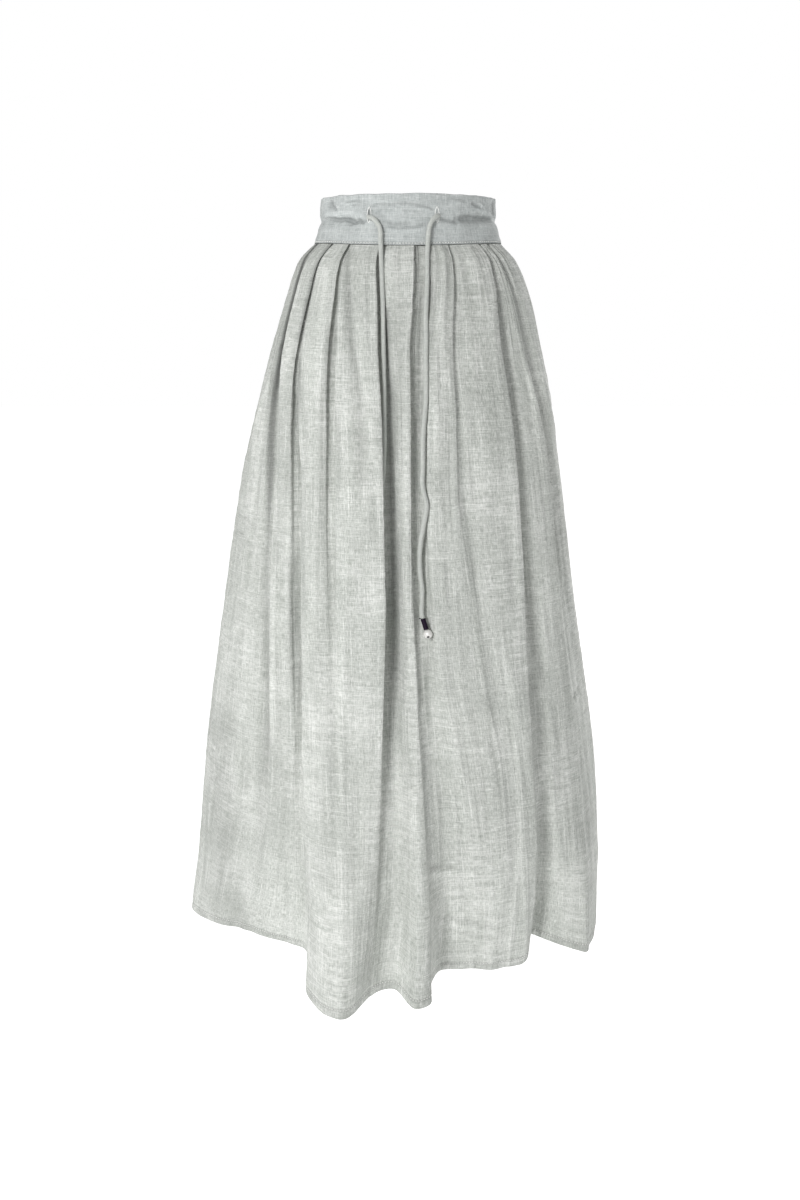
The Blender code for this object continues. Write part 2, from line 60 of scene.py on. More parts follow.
# Waistband
BAND_TOP = 0.030              # above the drawstring
SEAM_FRONT = -0.030           # height of the waist seam at the front centre
SEAM_RISE = 0.006             # the seam runs this much higher at the sides and back
SEAM_RISE_FADE = 0.14         # drop over which that rise dies out
HEM_UNEVEN = 0.13             # the hem hangs this share of its stand lower
HEM_UNEVEN_FROM = 0.60        # drop at which that unevenness starts
PINCH_DEPTH = 0.0024          # the drawn cord pinches the band at its height
PINCH_HALF_HEIGHT = 0.0045
PINCH_CLEAR_TURN = 27.0       # no pinch between the two eyelets
PINCH_BLEND_TURN = 12.0
BAND_GAP_TURN = 0.12          # degrees kept free each side of its side seams
EYELET_HEIGHT = 0.018

# Drawstring
CORD_DIAMETER = 0.006
CORD_CURVE_STEPS = 12         # points on each span of the route, before they are spaced
SLEEVE_DIAMETER = 0.0066
SLEEVE_LENGTH = 0.0135
BEAD_DIAMETER = 0.0116
END_GAP = 0.0003              # cord to sleeve and sleeve to bead
SLEEVE_TILT_ROOM = 0.0007     # the sleeve's face is not quite square to the cord's

# Pleats
TUCK_TURN_SHARE = 0.35        # how far round to the floor an edge's tucked point lies
TUCK_STAND_SHARE = 0.5        # and how far in

# The smooth body of the skirt: drops and outer half sizes
SECTIONS = dict(
    drop=(0.000, 0.020, 0.060, 0.120, 0.190, 0.280, 0.460, 0.680, 0.810, 0.940),
    half_width=(0.1215, 0.1420, 0.1600, 0.1780, 0.1960, 0.2150, 0.2450, 0.2810, 0.2950, 0.3050),
    front=(0.0885, 0.1000, 0.1130, 0.1280, 0.1430, 0.1600, 0.1910, 0.2240, 0.2400, 0.2520),
    back=(0.0860, 0.0980, 0.1130, 0.1300, 0.1460, 0.1640, 0.1930, 0.2240, 0.2390, 0.2500),
    shift=(0.000, 0.000, 0.001, -0.001, -0.003, -0.008, -0.011, -0.010, -0.012, -0.022))

# The outer face of the waistband: heights from the seam up, and half sizes
BAND_ROWS = dict(
    height=(-0.030, -0.015, -0.006, 0.000, 0.006, 0.013, 0.022, 0.030),
    half_width=(0.1213, 0.1175, 0.1152, 0.1142, 0.1135, 0.1130, 0.1124, 0.1120),
    front=(0.0884, 0.0876, 0.0868, 0.0862, 0.0856, 0.0852, 0.0844, 0.0838),
    back=(0.0859, 0.0852, 0.0844, 0.0840, 0.0836, 0.0832, 0.0826, 0.0820))

# The lining: drops and outer half sizes. Its top is sewn to the inside of the band, the next
# ring clears the tucks of the pleats, and from the hip down it is a straight A-line slip.
LINING_ROWS = dict(
    drop=(-0.0015, 0.001, 0.050, 0.120, 0.815),
    half_width=(0.1190, 0.1140, 0.1390, 0.1570, 0.2320),
    front=(0.0864, 0.0810, 0.0925, 0.1040, 0.1740),
    back=(0.0839, 0.0785, 0.0930, 0.1090, 0.1820),
    shift=(0.000, 0.000, 0.000, -0.001, -0.012))

# Drops of the named levels in the fold tables
LEVELS = dict(seam=0.0, hip=0.12, thigh=0.28, knee=0.46, calf=0.68, hem=0.94)

# Turns in degrees and stands in mm, each at the six levels. kind: "right" and "left" are crisp
# pleat edges that face that way and fold back under themselves by tuck, in mm at the six levels;
# "soft" is a crown, a slope or a floor. The names only label the rows.
Fold = namedtuple("Fold", "name turns stands kind tuck", defaults=("soft", None))
FRONT_FOLDS = (
    Fold("side crown", (-79, -79, -77, -75, -76, -79), (0, 0, 0, 0, 0, -4)),
    Fold("A slope", (-72, -71, -61, -56, -52, -66), (-2, -4, -8, -9, -9, -27)),
    Fold("A floor", (-67, -65, -52, -47, -43, -58), (-5, -9, -14, -14, -13, -43)),
    Fold("A edge", (-65, -62, -48, -43, -38, -51), (0, 0, 0, 0, -4, -48), "left", (3, 4, 4, 3, 1, 0)),
    Fold("one crown", (-58, -57, -46, -40, -34.5, -43), (1, 2, 1, -2, -6, -50)),
    Fold("B edge", (-52, -50.6, -41.2, -35, -31, -34), (0, 0, -1, -5, -9, -54), "right", (3, 4, 3, 1, 0, 0)),
    Fold("B floor", (-51, -49, -38.3, -32.4, -28.5, -27), (-5, -11, -15, -14, -12, -52)),
    Fold("two edge", (-50, -47.5, -36, -30.5, -26, -20.9), (0, 0, 0, 0, 2, 11), "left",
         (3, 5, 5, 4, 3, 4)),
    Fold("two crown", (-43, -40, -30, -26, -21.5, -15), (1, 2, 3, 3, 8, 40)),
    Fold("C edge", (-37.5, -33, -26, -21.5, -17.5, -12), (0, 0, 0, 1, 10, 46), "right", (3, 4, 3, 0, 0, 0)),
    Fold("C floor", (-36.8, -31.6, -24, -20, -15.8, -10.8), (-5, -9, -8, -3, 9, 47)),
    Fold("three edge", (-36, -30, -22, -18.3, -14, -9.6), (0, 0, 0, 1, 10, 45), "left", (3, 3, 2, 0, 0, 0)),
    Fold("three crown", (-27, -21, -14, -11, -9.5, -8), (1, 2, 3, 3, 9, 34)),
    Fold("D edge", (-17.1, -12, -6, -4, -5, -5.8), (0, 1, 2, 2, 4, 9), "right", (4, 9, 16, 22, 8, 0)),
    Fold("D floor", (-15.5, -9.5, -3.2, -1.2, -1.2, -2.5), (-6, -17, -25, -27, -15, -8)),
    Fold("D slope", (-12.5, -6.5, -1.2, 0.4, 1.2, 0.8), (-3, -9, -12, -11, -6, -10)),
    Fold("four crown", (-5, -2.6, 1, 2.4, 3.6, 5.4), (0, 1, 0, 0, 3, 26)),
    Fold("E edge", (3.5, 1, 3, 4.2, 5.8, 9.2), (0, 0, 0, 0, 2, 19), "right", (3, 6, 8, 6, 5, 4)),
    Fold("E floor", (6.5, 4.6, 6, 8, 11, 14), (-5, -11, -14, -14, -14, -40)),
    Fold("five edge", (11.7, 8.2, 8, 10.5, 16, 23), (0, 0, 0, -2, -8, -34), "left", (3, 5, 3, 0, 0, 0)),
    Fold("five crown", (18, 13, 14, 16, 21, 27), (1, 2, 2, 0, -4, -25)),
    Fold("G edge", (23.7, 18.2, 18.6, 23, 27, 30), (0, 0, 0, 0, -2, -22), "right", (3, 3, 2, 0, 0, 0)),
    Fold("G floor", (25, 19.8, 21.2, 26, 30, 33), (-3, -6, -5, -2, -2.6, -21)),
    Fold("G slope", (27.5, 23, 25.2, 29.5, 32.4, 35.2), (-1, -2, -2, 0, -1, -18)),
    Fold("six crown", (37, 33, 34, 34, 34.5, 39), (1, 2, 3, 3, 2, -16)),
    Fold("H edge", (46, 41, 42.5, 41, 38.5, 41.2), (0, 0, 1, 2, 2, -22), "right", (3, 6, 9, 8, 6, 4)),
    Fold("H floor", (47.2, 44, 46, 46, 44.5, 48.6), (-5, -12, -17, -18, -17, -50)),
    Fold("H slope", (50, 49, 51, 50.5, 49, 52.5), (-2, -6, -8, -8, -7, -14)),
    Fold("I edge", (54, 56, 63.5, 62, 59, 57), (0, 0, 0, 0, 2, 21), "right", (2, 3, 4, 2, 0, 0)),
    Fold("I floor", (55.5, 58, 66.5, 67, 66, 66), (-4, -6, -7, -5, -2, 13)),
    Fold("side slope", (64, 68, 74, 76, 76, 77), (0, 0, 0, 0, 0, 4)),
)

# The back has the same knife pleats, evenly laid. Turns count from the back
# centre, + towards the wearer's right; a lobe is how far the crown beside the
# pleat swings out at the hem.
BackPleat = namedtuple("BackPleat", "name facing seam thigh hem depth_hip depth_knee depth_hem lobe")
BACK_PLEATS = (
    BackPleat("a", "left", -64, -62, -60, 9, 14, 34, 22),
    BackPleat("b", "left", -40, -41, -38, 10, 16, 46, 30),
    BackPleat("c", "left", -17, -18, -14, 12, 18, 40, 18),
    BackPleat("d", "right", 8, 9, 11, 12, 18, 44, 28),
    BackPleat("e", "right", 29, 30, 35, 10, 15, 48, 24),
    BackPleat("f", "right", 49, 53, 57, 9, 14, 36, 20),
)
BACK_PLAIN_TURN = 79          # the back is smooth from here to the side seams
BACK_SEAM_DEPTH = 5.0         # mm, where the pleats are sewn flat
BACK_TUCK_SHARE = 0.45        # tuck as a share of the pleat's depth
BACK_TUCK_MOST = 6.0
BACK_CROWN_TURN = 7.0         # degrees from a back pleat's crown to its edge
BACK_EDGE_SHARE = 0.6         # the edge's stand as a share of the crown's
BACK_TUCK_TURN = 0.8          # degrees from its edge to its tucked point
BACK_FLOOR_TURN = 2.4         # from its edge to its floor
BACK_SLOPE_TURN = 6.0         # and to the end of its slope
BACK_SLOPE_SHARE = 0.45       # the slope's depth as a share of the floor's

# Route of each cord's middle line from its slit down: x, y, z in mm. The left cord
# slides behind the third panel's edge, the right one lies over the fifth's.
LEFT_ROUTE = (
    (-49, -75, 3), (-48.6, -78, 2.8), (-47.4, -81.4, 2.3), (-43.9, -84.6, 1.2), (-39.4, -86.3, -2.8),
    (-36.5, -87.4, -7), (-35.7, -87.6, -8), (-34.3, -88.6, -14), (-34, -89.4, -27), (-33.6, -92.4, -41),
    (-32.8, -97.6, -60), (-32.2, -101.2, -75), (-31.4, -107, -106), (-30.8, -116.5, -150),
    (-30.2, -124.5, -190), (-29.8, -135, -238), (-29.9, -142, -270), (-31, -147.5, -300),
    (-33.5, -151.2, -325), (-35.2, -158.2, -360), (-35.4, -166.6, -410), (-35.2, -171, -437),
    (-35.1, -172.4, -450),
)
RIGHT_ROUTE = (
    (37.2, -76, 4.4), (36.8, -79.4, 4.4), (35.6, -83, 3.8), (32, -86.2, 1.4), (28.4, -88.2, -3),
    (26, -89.4, -8), (24.7, -90.4, -14), (23.6, -91.4, -27), (22.9, -95.6, -41), (22.9, -104.3, -67),
    (22.2, -110, -88), (21.2, -118, -113), (21.3, -126.3, -139), (21.1, -132.3, -163),
    (21.3, -138.2, -190), (21, -143.6, -218), (18.3, -147.5, -247), (17.7, -152.5, -273),
    (17.6, -157.5, -297), (16.9, -160.3, -310), (18.6, -163.8, -322), (22.2, -167.5, -336),
    (21.3, -169.5, -349), (18.3, -170, -365), (15.3, -170, -384), (14, -170.8, -404),
    (14.7, -172.5, -423), (17.2, -174.5, -441), (17, -177, -459), (16.5, -179, -470), (16.9, -180, -475),
    (18.3, -181.4, -479.2),
)
# Which way each sleeve and bead hangs from the cord's end, as a direction
LEFT_HANG = (0.05, -0.10, -1.0)
RIGHT_HANG = (0.33, -0.30, -1.0)
CORD_POINTS = 420
CORD_SIDES = 20
CORD_TWIST = 0.055            # length of one turn of its rolled edge
CORD_GROOVE = 0.10            # depth of that edge's groove, as a share of the radius
CORD_GROOVE_ANGLE = 0.35      # and half its width, in radians
CORD_LUMPS = 0.05             # how uneven the cord is, as a share of the radius
CORD_LUMP_NOISE = (90, 0.3)   # bumps a metre along it, and how far the noise varies round it
CORD_SEED = 61
SLEEVE_SIDES = 28
BEAD_SIDES = 32
BEAD_RINGS = 22
BEAD_HOLE = 0.9               # mm, its radius
KNOT_SIDES = 16
TURNED_RADIUS = 0.004         # of a sleeve or bead, about, for its texture
THREAD_END = ((-1.0, -2.9, -0.4), (-2.6, -3.2, 0.4), (-4.2, -3.4, 1.0), (-4.9, -3.6, 0.2))
THREAD_END_RADIUS = 0.00045
THREAD_END_SIDES = 8
THREAD_END_STEPS = 6          # points on each of its spans
KNOT_FACING = (0.05, -0.93, -0.36)
KNOT_PROFILE = ((-0.6, 0.1), (-0.5, 1.2), (0.1, 1.7), (0.25, 1.2), (0.3, 0.1))

# Fineness of the shells
SPAN_LENGTH = 0.0030          # cloth between two points of a ring, about
SPAN_LEAST = 4
SPAN_DROPS = (0.12, 0.46, 0.80, 0.94)
PANEL_ROWS = 268
FINE_ROW = 0.0013             # rows are this close at the seam and at the hem
FINE_REACH = 0.0195
BAND_COLUMN = 0.0012
BAND_RADIUS = 0.1             # of the band, about, for its cloth coordinates
BAND_ROW_COUNT = 62
SLIP_COLUMNS = 140
SLIP_ROWS = 110

# Lining
SLIP_FROM = 0.01              # drop of the first of its even rows
SLIP_RADIUS = 0.2             # about, for its cloth coordinates
SLIP_WAVE = 0.0006
SLIP_WAVE_NOISE = (30, 5)     # bumps a metre round and down
SLIP_FADE = 0.05              # drop over which its waves start
SLIP_INSIDE = 0.0003          # it lies this far inside the frame's lining
SLIP_SEED = 71
# Its turned hem: row counted from the edge up, how far inwards, and how far on along the cloth
SLIP_HEM = ((1, 0.0006, 0.0), (2, 0.0008, 0.007), (3, 0.0008, 0.014))

# Sewing
HEM_TURN = 0.012              # turned up inside
HEM_FOLD = 0.0014
# The turned hem's rows: share of the turn up, share of the fold inwards, and how much lower
HEM_ROWS = ((0.0, 0.25, 0.0004), (0.0, 0.75, 0.0004), (0.0, 1.0, 0.0), (0.25, 1.0, 0.0),
            (0.5, 1.0, 0.0), (0.75, 1.0, 0.0), (1.0, 0.95, 0.0))
HEM_STITCH_UP = 0.0105        # the hem's stitches above its edge
STITCH_LENGTH = 0.0026
STITCH_GAP = 0.0012
STITCH_THICKNESS = 0.0009
STITCH_SIDES = 5
# A stitch's rings: how far along it they lie, and their rise as a share of its thickness
STITCH_PROFILE = ((0.0, -0.6), (0.18, 0.35), (0.5, 0.6), (0.82, 0.35), (1.0, -0.6))
SEAM_STITCH_ROW = 2           # row of the band that its topstitching follows
SIDE_SEAM_DEPTH = 0.0012      # the cloth dips towards a side seam
SIDE_SEAM_WIDTH = 0.0016
HEM_STITCH_DEPTH = 0.0003     # and under a row of stitches
HEM_STITCH_WIDTH = 0.0016
BAND_STITCH_DEPTH = 0.0004
BAND_STITCH_WIDTH = 0.0014
RELIEF_FADE_TOP = 0.006       # folds start this far below the waist seam
RELIEF_FADE_SIDE = 0.01       # and this far from a side seam
BAND_FADE = 0.003             # and this far above the seam, in the band
BAND_EDGE = 0.0006            # its folded top edge rises this much
BAND_TOP_WAVES = 0.0007
BAND_TOP_WAVE_TURN = 9.0      # degrees to one of them

# Slits as the cord leaves them, narrower than their cut
SLIT_CENTRES = (-0.0480, 0.0350)
SLIT_OPEN = 0.0050
SLIT_Z = 0.0053
SLIT_HALF_WIDTH = 0.1136      # the band's half width at the slits' height
SLIT_ARC = 0.108              # metres of band to a radian of turn, there
SLIT_ENDS = 0.85              # how pointed its ends are: 0.5 is round
SLIT_PUSH = 0.006             # the band's columns move aside within about this distance
SLIT_COLUMN_TURNS = (-0.7, -0.001, 0.001, 0.7)
RIM_RADIUS = 0.00055
RIM_POINTS = 110
RIM_SIDES = 10
RIM_LUMPS = 0.16              # how much its stitches swell
RIM_OUT = 1.003               # it lies this much further out than the band
RIM_BEYOND = 0.0004           # and goes this far past the slit's ends
RIM_INSIDE = 0.999            # share of the slit's height at which its opening is taken there

# Light and shade painted on the cloth, as shares of its colour
LINING_SHADE = 0.955          # where the lining lies behind it
LINING_LINE = ((-90, 0.812), (-64, 0.811), (-50, 0.795), (-38, 0.785), (-30, 0.800), (-14, 0.782),
               (7, 0.768), (14, 0.781), (33, 0.765), (42, 0.785), (50, 0.802), (90, 0.800))
LINING_LINE_BACK = 0.806      # drop of the lining's edge at the back
LINING_BLUR = 0.004
HEM_SHADE = 0.88              # where the hem is double
HEM_BLUR = 0.0008
DOUBLED_ABOVE = 0.001         # the double cloth starts this far above the stitches
HEM_PATCHES = 0.10            # how uneven that is
HEM_PATCH_NOISE = (60, 40, 12)  # bumps a metre round and down, and seed
STITCH_SHADE = 0.20
STITCH_SHADE_WIDTH = 0.0015
INNER_SHADE = 0.97            # of the turned hem, inside
HOLLOW_SHADE = 0.055          # how much darker a hollow is for each mm of its depth
BAND_HOLLOW_SHADE = 0.132     # and in the band
HOLLOW_LIMITS = (0.80, 1.12)
BAND_HOLLOW_LIMITS = (0.70, 1.12)
GATHERED_SHADE = 0.10         # how much darker the cloth is where it is gathered, at the seam
GATHERED_DROP = 0.20
BAND_END_SHADE = 0.16         # where the band turns away to the wearer's left, above the cord
BAND_END_X = 0.1070
BAND_END_Z = 0.006
BAND_END_BLUR = 0.0004

# Lines drawn on the cloth: amount, half width in mm, and the points of a path
Stroke = namedtuple("Stroke", "amount width path")


def strokes(rows, across=1.0):
    """Strokes from rows of numbers: amount, width and then each point, its second number in mm."""
    return [Stroke(amount, width, [(a * across, b / 1000) for a, b in zip(path[::2], path[1::2])])
            for amount, width, *path in rows]


# Creases of the front panel: height and half width in mm, then turns in degrees and drops in mm
FRONT_CREASES = strokes((
    (-1.7, 3.2, -34.6, 4, -31.3, 23, -28.2, 53, -24.1, 106, -19.6, 146, -16.1, 195, -13.7, 255, -13, 300),
    (-1, 2.2, -26.1, 170, -24.1, 218, -21.6, 255, -20.9, 305),
    (0.9, 2.6, -37, 12, -34, 45, -31, 80, -29, 110),
    (0.7, 1.9, -18.2, 99, -14.4, 182),
    (0.7, 1.9, -28.7, 119, -26.1, 182, -26.6, 232),
    (0.9, 1.6, -17.4, 278, -16, 410),
    (0.9, 3, -16.8, 424, -15.9, 576, -14.3, 751),
    (0.7, 3, -39.2, 222, -38.8, 334, -35.5, 487),
    (0.7, 3, -29.7, 209, -27.3, 328, -25.7, 490),
    (0.6, 1.4, -36.2, 526, -33.3, 510),
    (1.3, 2.2, -72.4, 149, -74.4, 192, -77.1, 232),
    (-0.9, 1.7, -78.9, 341, -66.8, 344, -60, 354),
    (-0.9, 1.7, -79.6, 364, -69.1, 364, -61.8, 377),
    (0.6, 1.4, -69.3, 500, -64.2, 490),
    (-0.7, 1.2, -8, 15.5, 0.9, 16.5, 9.1, 13.2),
    (0.6, 2.5, -1.7, 205, -1.7, 331, -2.2, 480),
    (-0.8, 3, 4.1, 546, 3.3, 675),
    (-0.5, 1.5, 9.5, 483, 8.8, 540),
    (-0.6, 3, 14.7, 374, 15.4, 549),
    (-0.6, 2.6, 14.2, 180, 13.6, 255, 14.2, 320),
    (-0.6, 2.6, 25.7, 180, 25.2, 255, 25, 320),
    (-1, 2.6, 28.8, 17, 28.5, 100, 28.2, 199),
    (-0.6, 2, 24.3, 321, 24.1, 424),
    (-0.4, 3, 21.1, 454, 21.5, 632, 24.1, 798),
    (-0.7, 3, 34.9, 331, 37.8, 460),
    (0.9, 3, 51.9, 66, 56.1, 162, 60.8, 278),
    (0.9, 1.6, 55, 152, 58.2, 189, 58.9, 238),
    (1.1, 3, 47, 503, 51.7, 669),
    (0.8, 4, 47.1, 655, 38.8, 771),
    (0.6, 1.2, 64, 586, 73.7, 596),
    (-0.9, 1.5, 52.8, 3, 49.1, 23),
    (-0.8, 1.5, 59, 3, 55.5, 30),
    (-1, 2.5, 12.4, 851, 21.2, 864, 29.4, 874),
    (0.7, 2, 12.5, 861, 21.4, 874, 29.7, 880),
    (-0.8, 2, 12.6, 871, 21.7, 884, 30, 887),
    (-0.6, 1.3, 31.8, 920, 35.4, 914, 38.1, 910),
    (-1.4, 5, -52.9, 391, -48.7, 493, -44.3, 573, -42.9, 695),
    (1.5, 3.5, -42.7, 384, -40.2, 487, -38, 616),
    (1.2, 4, -29.8, 430, -27, 556, -24.8, 682),
    (-1, 4, -37.4, 384, -33.5, 487, -30.6, 586),
    (-1.2, 6, 49.6, 523, 49.1, 573, 51.1, 626, 50.9, 715),
    (0.8, 1.5, -71.3, 500, -67, 493, -63.2, 487),
    (0.7, 1.4, -59.1, 420, -54.5, 394),
    (0.8, 1.5, -36.7, 526, -34, 516, -31.8, 503),
    (-0.6, 1.5, -40.6, 506, -36.8, 523),
    (0.5, 1.2, -19.4, 566, -13.5, 563),
    (0.5, 1.2, -18.9, 463, -15.2, 454),
    (-0.7, 1.6, 8.5, 606, 17.7, 608, 23, 605, 26.3, 600),
    (0.6, 1.6, 10, 614, 18.5, 616, 25, 611),
    (-0.6, 1.6, 24.4, 645, 21.1, 705, 18.6, 761),
    (0.6, 1.6, 20.5, 708, 26.5, 669),
    (-1.1, 1.6, 61.8, 590, 66, 583, 71.5, 577),
    (1, 1.6, 62, 598, 66.5, 591, 71, 585),
    (0.7, 1.4, 51.8, 444, 59, 450),
    (0.9, 2, -78.8, 655, -71, 664, -64, 675),
    (-0.9, 1.8, -74.2, 722, -68, 708, -64.1, 692),
    (0.6, 1.6, -25.6, 626, -20.3, 632),
    (-1.2, 2.4, 7.8, 768, 9.5, 773, 12.3, 777, 16.9, 781),
    (0.9, 2.6, 8, 778, 9.7, 783, 12.5, 787, 17.5, 790),
    (0.7, 2, 16.9, 880, 22.6, 890, 28.5, 900),
    (0.8, 2, -46, 689, -40, 686, -35.8, 682),
    (0.7, 2, 49.3, 745, 51, 801),
    (-0.8, 1.2, 9.4, 465, 8.9, 500, 8.8, 536),
))

# Narrow recesses beside the pleats that get little light, and a few broad shades (a negative
# share is brighter): share of the light, half width in mm, then turns and drops in mm
FRONT_SHADES = strokes((
    (0.74, 4.8, -76, -10, -74, 5, -71.5, 30, -71, 60, -70, 109, -68.6, 152, -65.4, 202),
    (0.35, 6, -68.6, 140, -65.4, 202, -59.8, 265, -54, 340),
    (0.35, 3.5, -55, -10, -52.4, 13, -51.8, 60, -51, 106, -45.5, 149, -41.5, 199, -40, 265),
    (0.2, 3, -37, -10, -33, 60, -30.5, 120, -25, 240),
    (0.42, 6, -70.2, 120, -65.8, 189, -58.2, 265, -54.3, 341, -50, 420),
    (0.48, 6, -50, 70, -48.6, 120, -43.8, 200, -38.4, 280, -35, 360, -32.6, 460),
    (0.15, 4, -34.6, -10, -31.3, 23, -28.2, 53, -24.1, 106, -19.6, 146, -16.1, 195),
    (0.18, 4, -34.6, 100, -31.8, 185, -28, 255, -26, 328, -23, 400),
    (0.42, 7, -10, 80, -8.5, 140, -6.5, 200, -3.6, 300, -2, 400, -1.6, 480, -1.8, 560, -2.2, 620,
     -2.6, 720),
    (0.24, 4.5, 5.8, -10, 4.8, 53, 4.4, 106, 4.6, 195, 5.6, 305, 7, 380),
    (0.4, 1.8, 12.9, -10, 10.9, 23, 9.8, 53, 9.4, 80),
    (0.16, 9, -53.5, 380, -48.7, 493, -44.3, 573, -43.2, 695, -43, 860),
    (0.1, 8, -37.4, 384, -33.5, 487, -30.6, 586, -28.5, 720),
    (0.18, 60, -68, 640, -62, 790, -60, 930, -60, 1100),
    (-0.08, 50, 67, 440, 69, 600, 72, 680, 72, 780),
    (0.12, 50, 62, 780, 62, 930, 62, 1100),
    (-0.1, 14, -44, -10, -40, 120, -36, 200),
))

# Creases of the band's front: height, half width, then x and z, all in mm. First those between the
# slits, then those from the left slit round to the left side, then the same on the right.
BAND_CREASES = strokes((
    (-0.7, 1.2, -44.5, 15, -40, 17.2, -33, 18, -23, 17.4, -14, 16.6),
    (-0.5, 1, -19, 19.6, -8, 18.6, 4, 18.4, 14, 16.6),
    (-0.6, 1.2, 8, 15, 19, 15.2, 26, 14, 32, 11),
    (-0.4, 1.2, -10, 11, 6, 9.2, 20, 9.6),
    (0.6, 1.8, -43, 19.5, -30, 21.2, -20, 20),
    (0.4, 1.6, 4, 12.5, 16, 12.5, 28, 11),
    (-0.6, 1.4, -27.7, -2.8, -15.8, -6.2, 4.8, -3.6),
    (-0.6, 1.2, -26.2, -8.5, -12.7, -10.5, 13, -8.8, 21.3, -4.5),
    (0.4, 2, -29, -12, 0, -13.5, 24, -11),
    (-1.5, 1.6, -50, -1, -56, -3.4, -59.5, -1.2, -64, -3, -72, -0.2, -79, 1, -85, 0.2, -96, 2.2,
     -106, 2.2),
    (-0.7, 1.5, -64, -3, -74.5, -6.5),
    (0.9, 4, -53, 6.5, -75, 8, -106, 9.5),
    (-0.6, 1, -78, 21.5, -69, 22.2, -58, 21.8),
    (0.5, 0.9, -78, 19.8, -60, 20.2),
    (-0.4, 0.9, -70, 17.8, -60, 17.8),
    (-0.8, 1.5, -97.5, 26.5, -94, 18, -88, 11.5),
    (0.5, 1.3, -89, 19.5, -86, 13.5),
    (-0.5, 1.2, -101, 24, -97, 15),
    (-0.9, 1.7, 37.5, 0, 47, -0.8, 55, -2.5, 62, -4),
    (-1.3, 2.8, 56, 0.5, 75, 2.2, 87, 1.5, 106, 1.5),
    (0.9, 2, 85, 14, 96.5, 10.5, 108, 6),
    (-0.7, 1.4, 78.5, 21, 83, 18.8, 91, 15),
    (0.6, 1.3, 88, 21.5, 94.5, 16, 97.5, 11.5),
    (-0.4, 1.6, 52.5, 25.5, 63, 24.5, 73, 22.5),
    (-0.6, 1.2, 107.2, 29, 107.4, 7),
), across=0.001)
CREASE_GAIN = 1.8             # of all the named creases' heights
CREASE_SPREAD = 1.35          # and widths
BAND_CREASE_GAIN = 1.35       # and once more of the band's
CREASE_END = 0.2              # share of its path over which a crease fades at each end
SHADE_END = 1 / 3             # and a shade at its lower end

# How much the front's hem is lifted, in mm, at a turn: it hangs shorter over its deep recesses
HEM_LIFT = ((-75, 0), (-62, 4), (-52, 11), (-36, 13), (-28, 13), (-20, 2), (-14, 0), (38, 0), (44, 8),
            (50, 9), (56, 0))
HEM_LIFT_FROM = 0.72          # drop

# Soft folds of worn linen, each a field of noise: bumps a metre round and down the cloth, seed,
# height in mm, how much higher near the waist, where it shows, whether it has sharp crests, its
# slant, and how much it strays sideways and down with the others
Crumple = namedtuple("Crumple", "round down seed height upper where sharp slant stray stray_down",
                     defaults=(0.0, "all", False, 0.0, 1.0, 0.0))
CRUMPLES = (
    Crumple(40, 4.0, 2, 1.10, 0.40),
    Crumple(36, 3.4, 10, 0.70, 0.50, sharp=True),
    Crumple(78, 4.5, 7, 0.40, 0.60, stray=0.5),
    Crumple(75, 26, 3, 0.90, where="patches"),
    Crumple(50, 26, 8, 1.00, where="others", sharp=True, slant=0.35),
    Crumple(22, 95, 4, 0.60, where="patches", stray=0.0, stray_down=1.0),
    Crumple(190, 14, 6, 0.80, where="seam", stray=0.0),
)
# The noise by which they stray: its height in metres, bumps a metre round and down, and seed
CRUMPLE_STRAY = (0.012, 9, 6, 1)
# Where patches of them show: mean, how much it varies, and the same three for its noise
CRUMPLE_WHERE = dict(patches=(0.5, 0.9, 11, 8, 5), others=(0.4, 1.0, 9, 7, 9))
CRUMPLE_UPPER = 0.45          # drop over which the gathered cloth's extra height fades
CRUMPLE_SEAM = 0.035          # and that of the puckers at the seam
CHANNEL_Z = 0.002             # the band's puckers lie along the cord's channel
CHANNEL_HALF_HEIGHT = 0.011
ABOVE_FROM = -0.006           # and its sharp wrinkles above this height
ABOVE_BLEND = 0.012
BAND_CRUMPLES = (
    Crumple(110, 38, 0, 0.70, where="channel"),
    Crumple(45, 60, 1, 0.80, where="above", sharp=True),
    Crumple(50, 50, 3, 0.60),
    Crumple(36, 130, 2, 0.35),
)

# Noise that makes the linen's look: bumps a metre, about, round and down the cloth, detail, roughness
LINEN_NOISE = (
    ("warp", (1050, 130), 2.0, 0.55), ("weft", (130, 1150), 2.0, 0.55), ("grain", (1500, 1500), 1.0, 0.55),
    ("thick_warp", (640, 11), 1.0, 0.55), ("thick_weft", (14, 700), 1.0, 0.55),
    ("thin_weft", (17, 560), 1.0, 0.55), ("patch", (26, 20), 3.0, 0.55), ("ridges", (46, 3.6), 1.0, 0.55),
    ("ripples", (112, 6.0), 1.0, 0.55), ("where", (11, 8), 1.0, 0.55), ("crinkles", (44, 80), 4.0, 0.6),
    ("pressed", (17, 84), 2.0, 0.6),
)
# Those that show only in a few threads: the noise at which they start and are full
LINEN_SPARSE = (("thick_warp", 0.56, 0.76), ("thick_weft", 0.56, 0.76), ("thin_weft", 0.44, 0.26))
# The value that each varies about in the colour, and its share of it
THREAD_SHARES = dict(warp=(0.5, 1.10), weft=(0.5, 0.95), grain=(0.5, 0.80), thick_warp=(0.12, 0.30),
                     thick_weft=(0.12, 0.26), thin_weft=(0.12, -0.16))
PATCH_SHARES = dict(patch=(0.5, 0.20))
# Fold crests painted lighter and the hollows between them darker: painted light and shade of the soft folds
# and pressed creases
FOLD_SHADING_SHARES = dict(ridges=(0.8, 0.26), ripples=(0.8, 0.16), pressed=(0.25, 0.24))
FOLD_HEIGHTS = dict(ridges=0.0030, ripples=0.0011, crinkles=0.0026, pressed=0.0008)
PRESSED_POWER = 5.0           # narrows the pressed creases
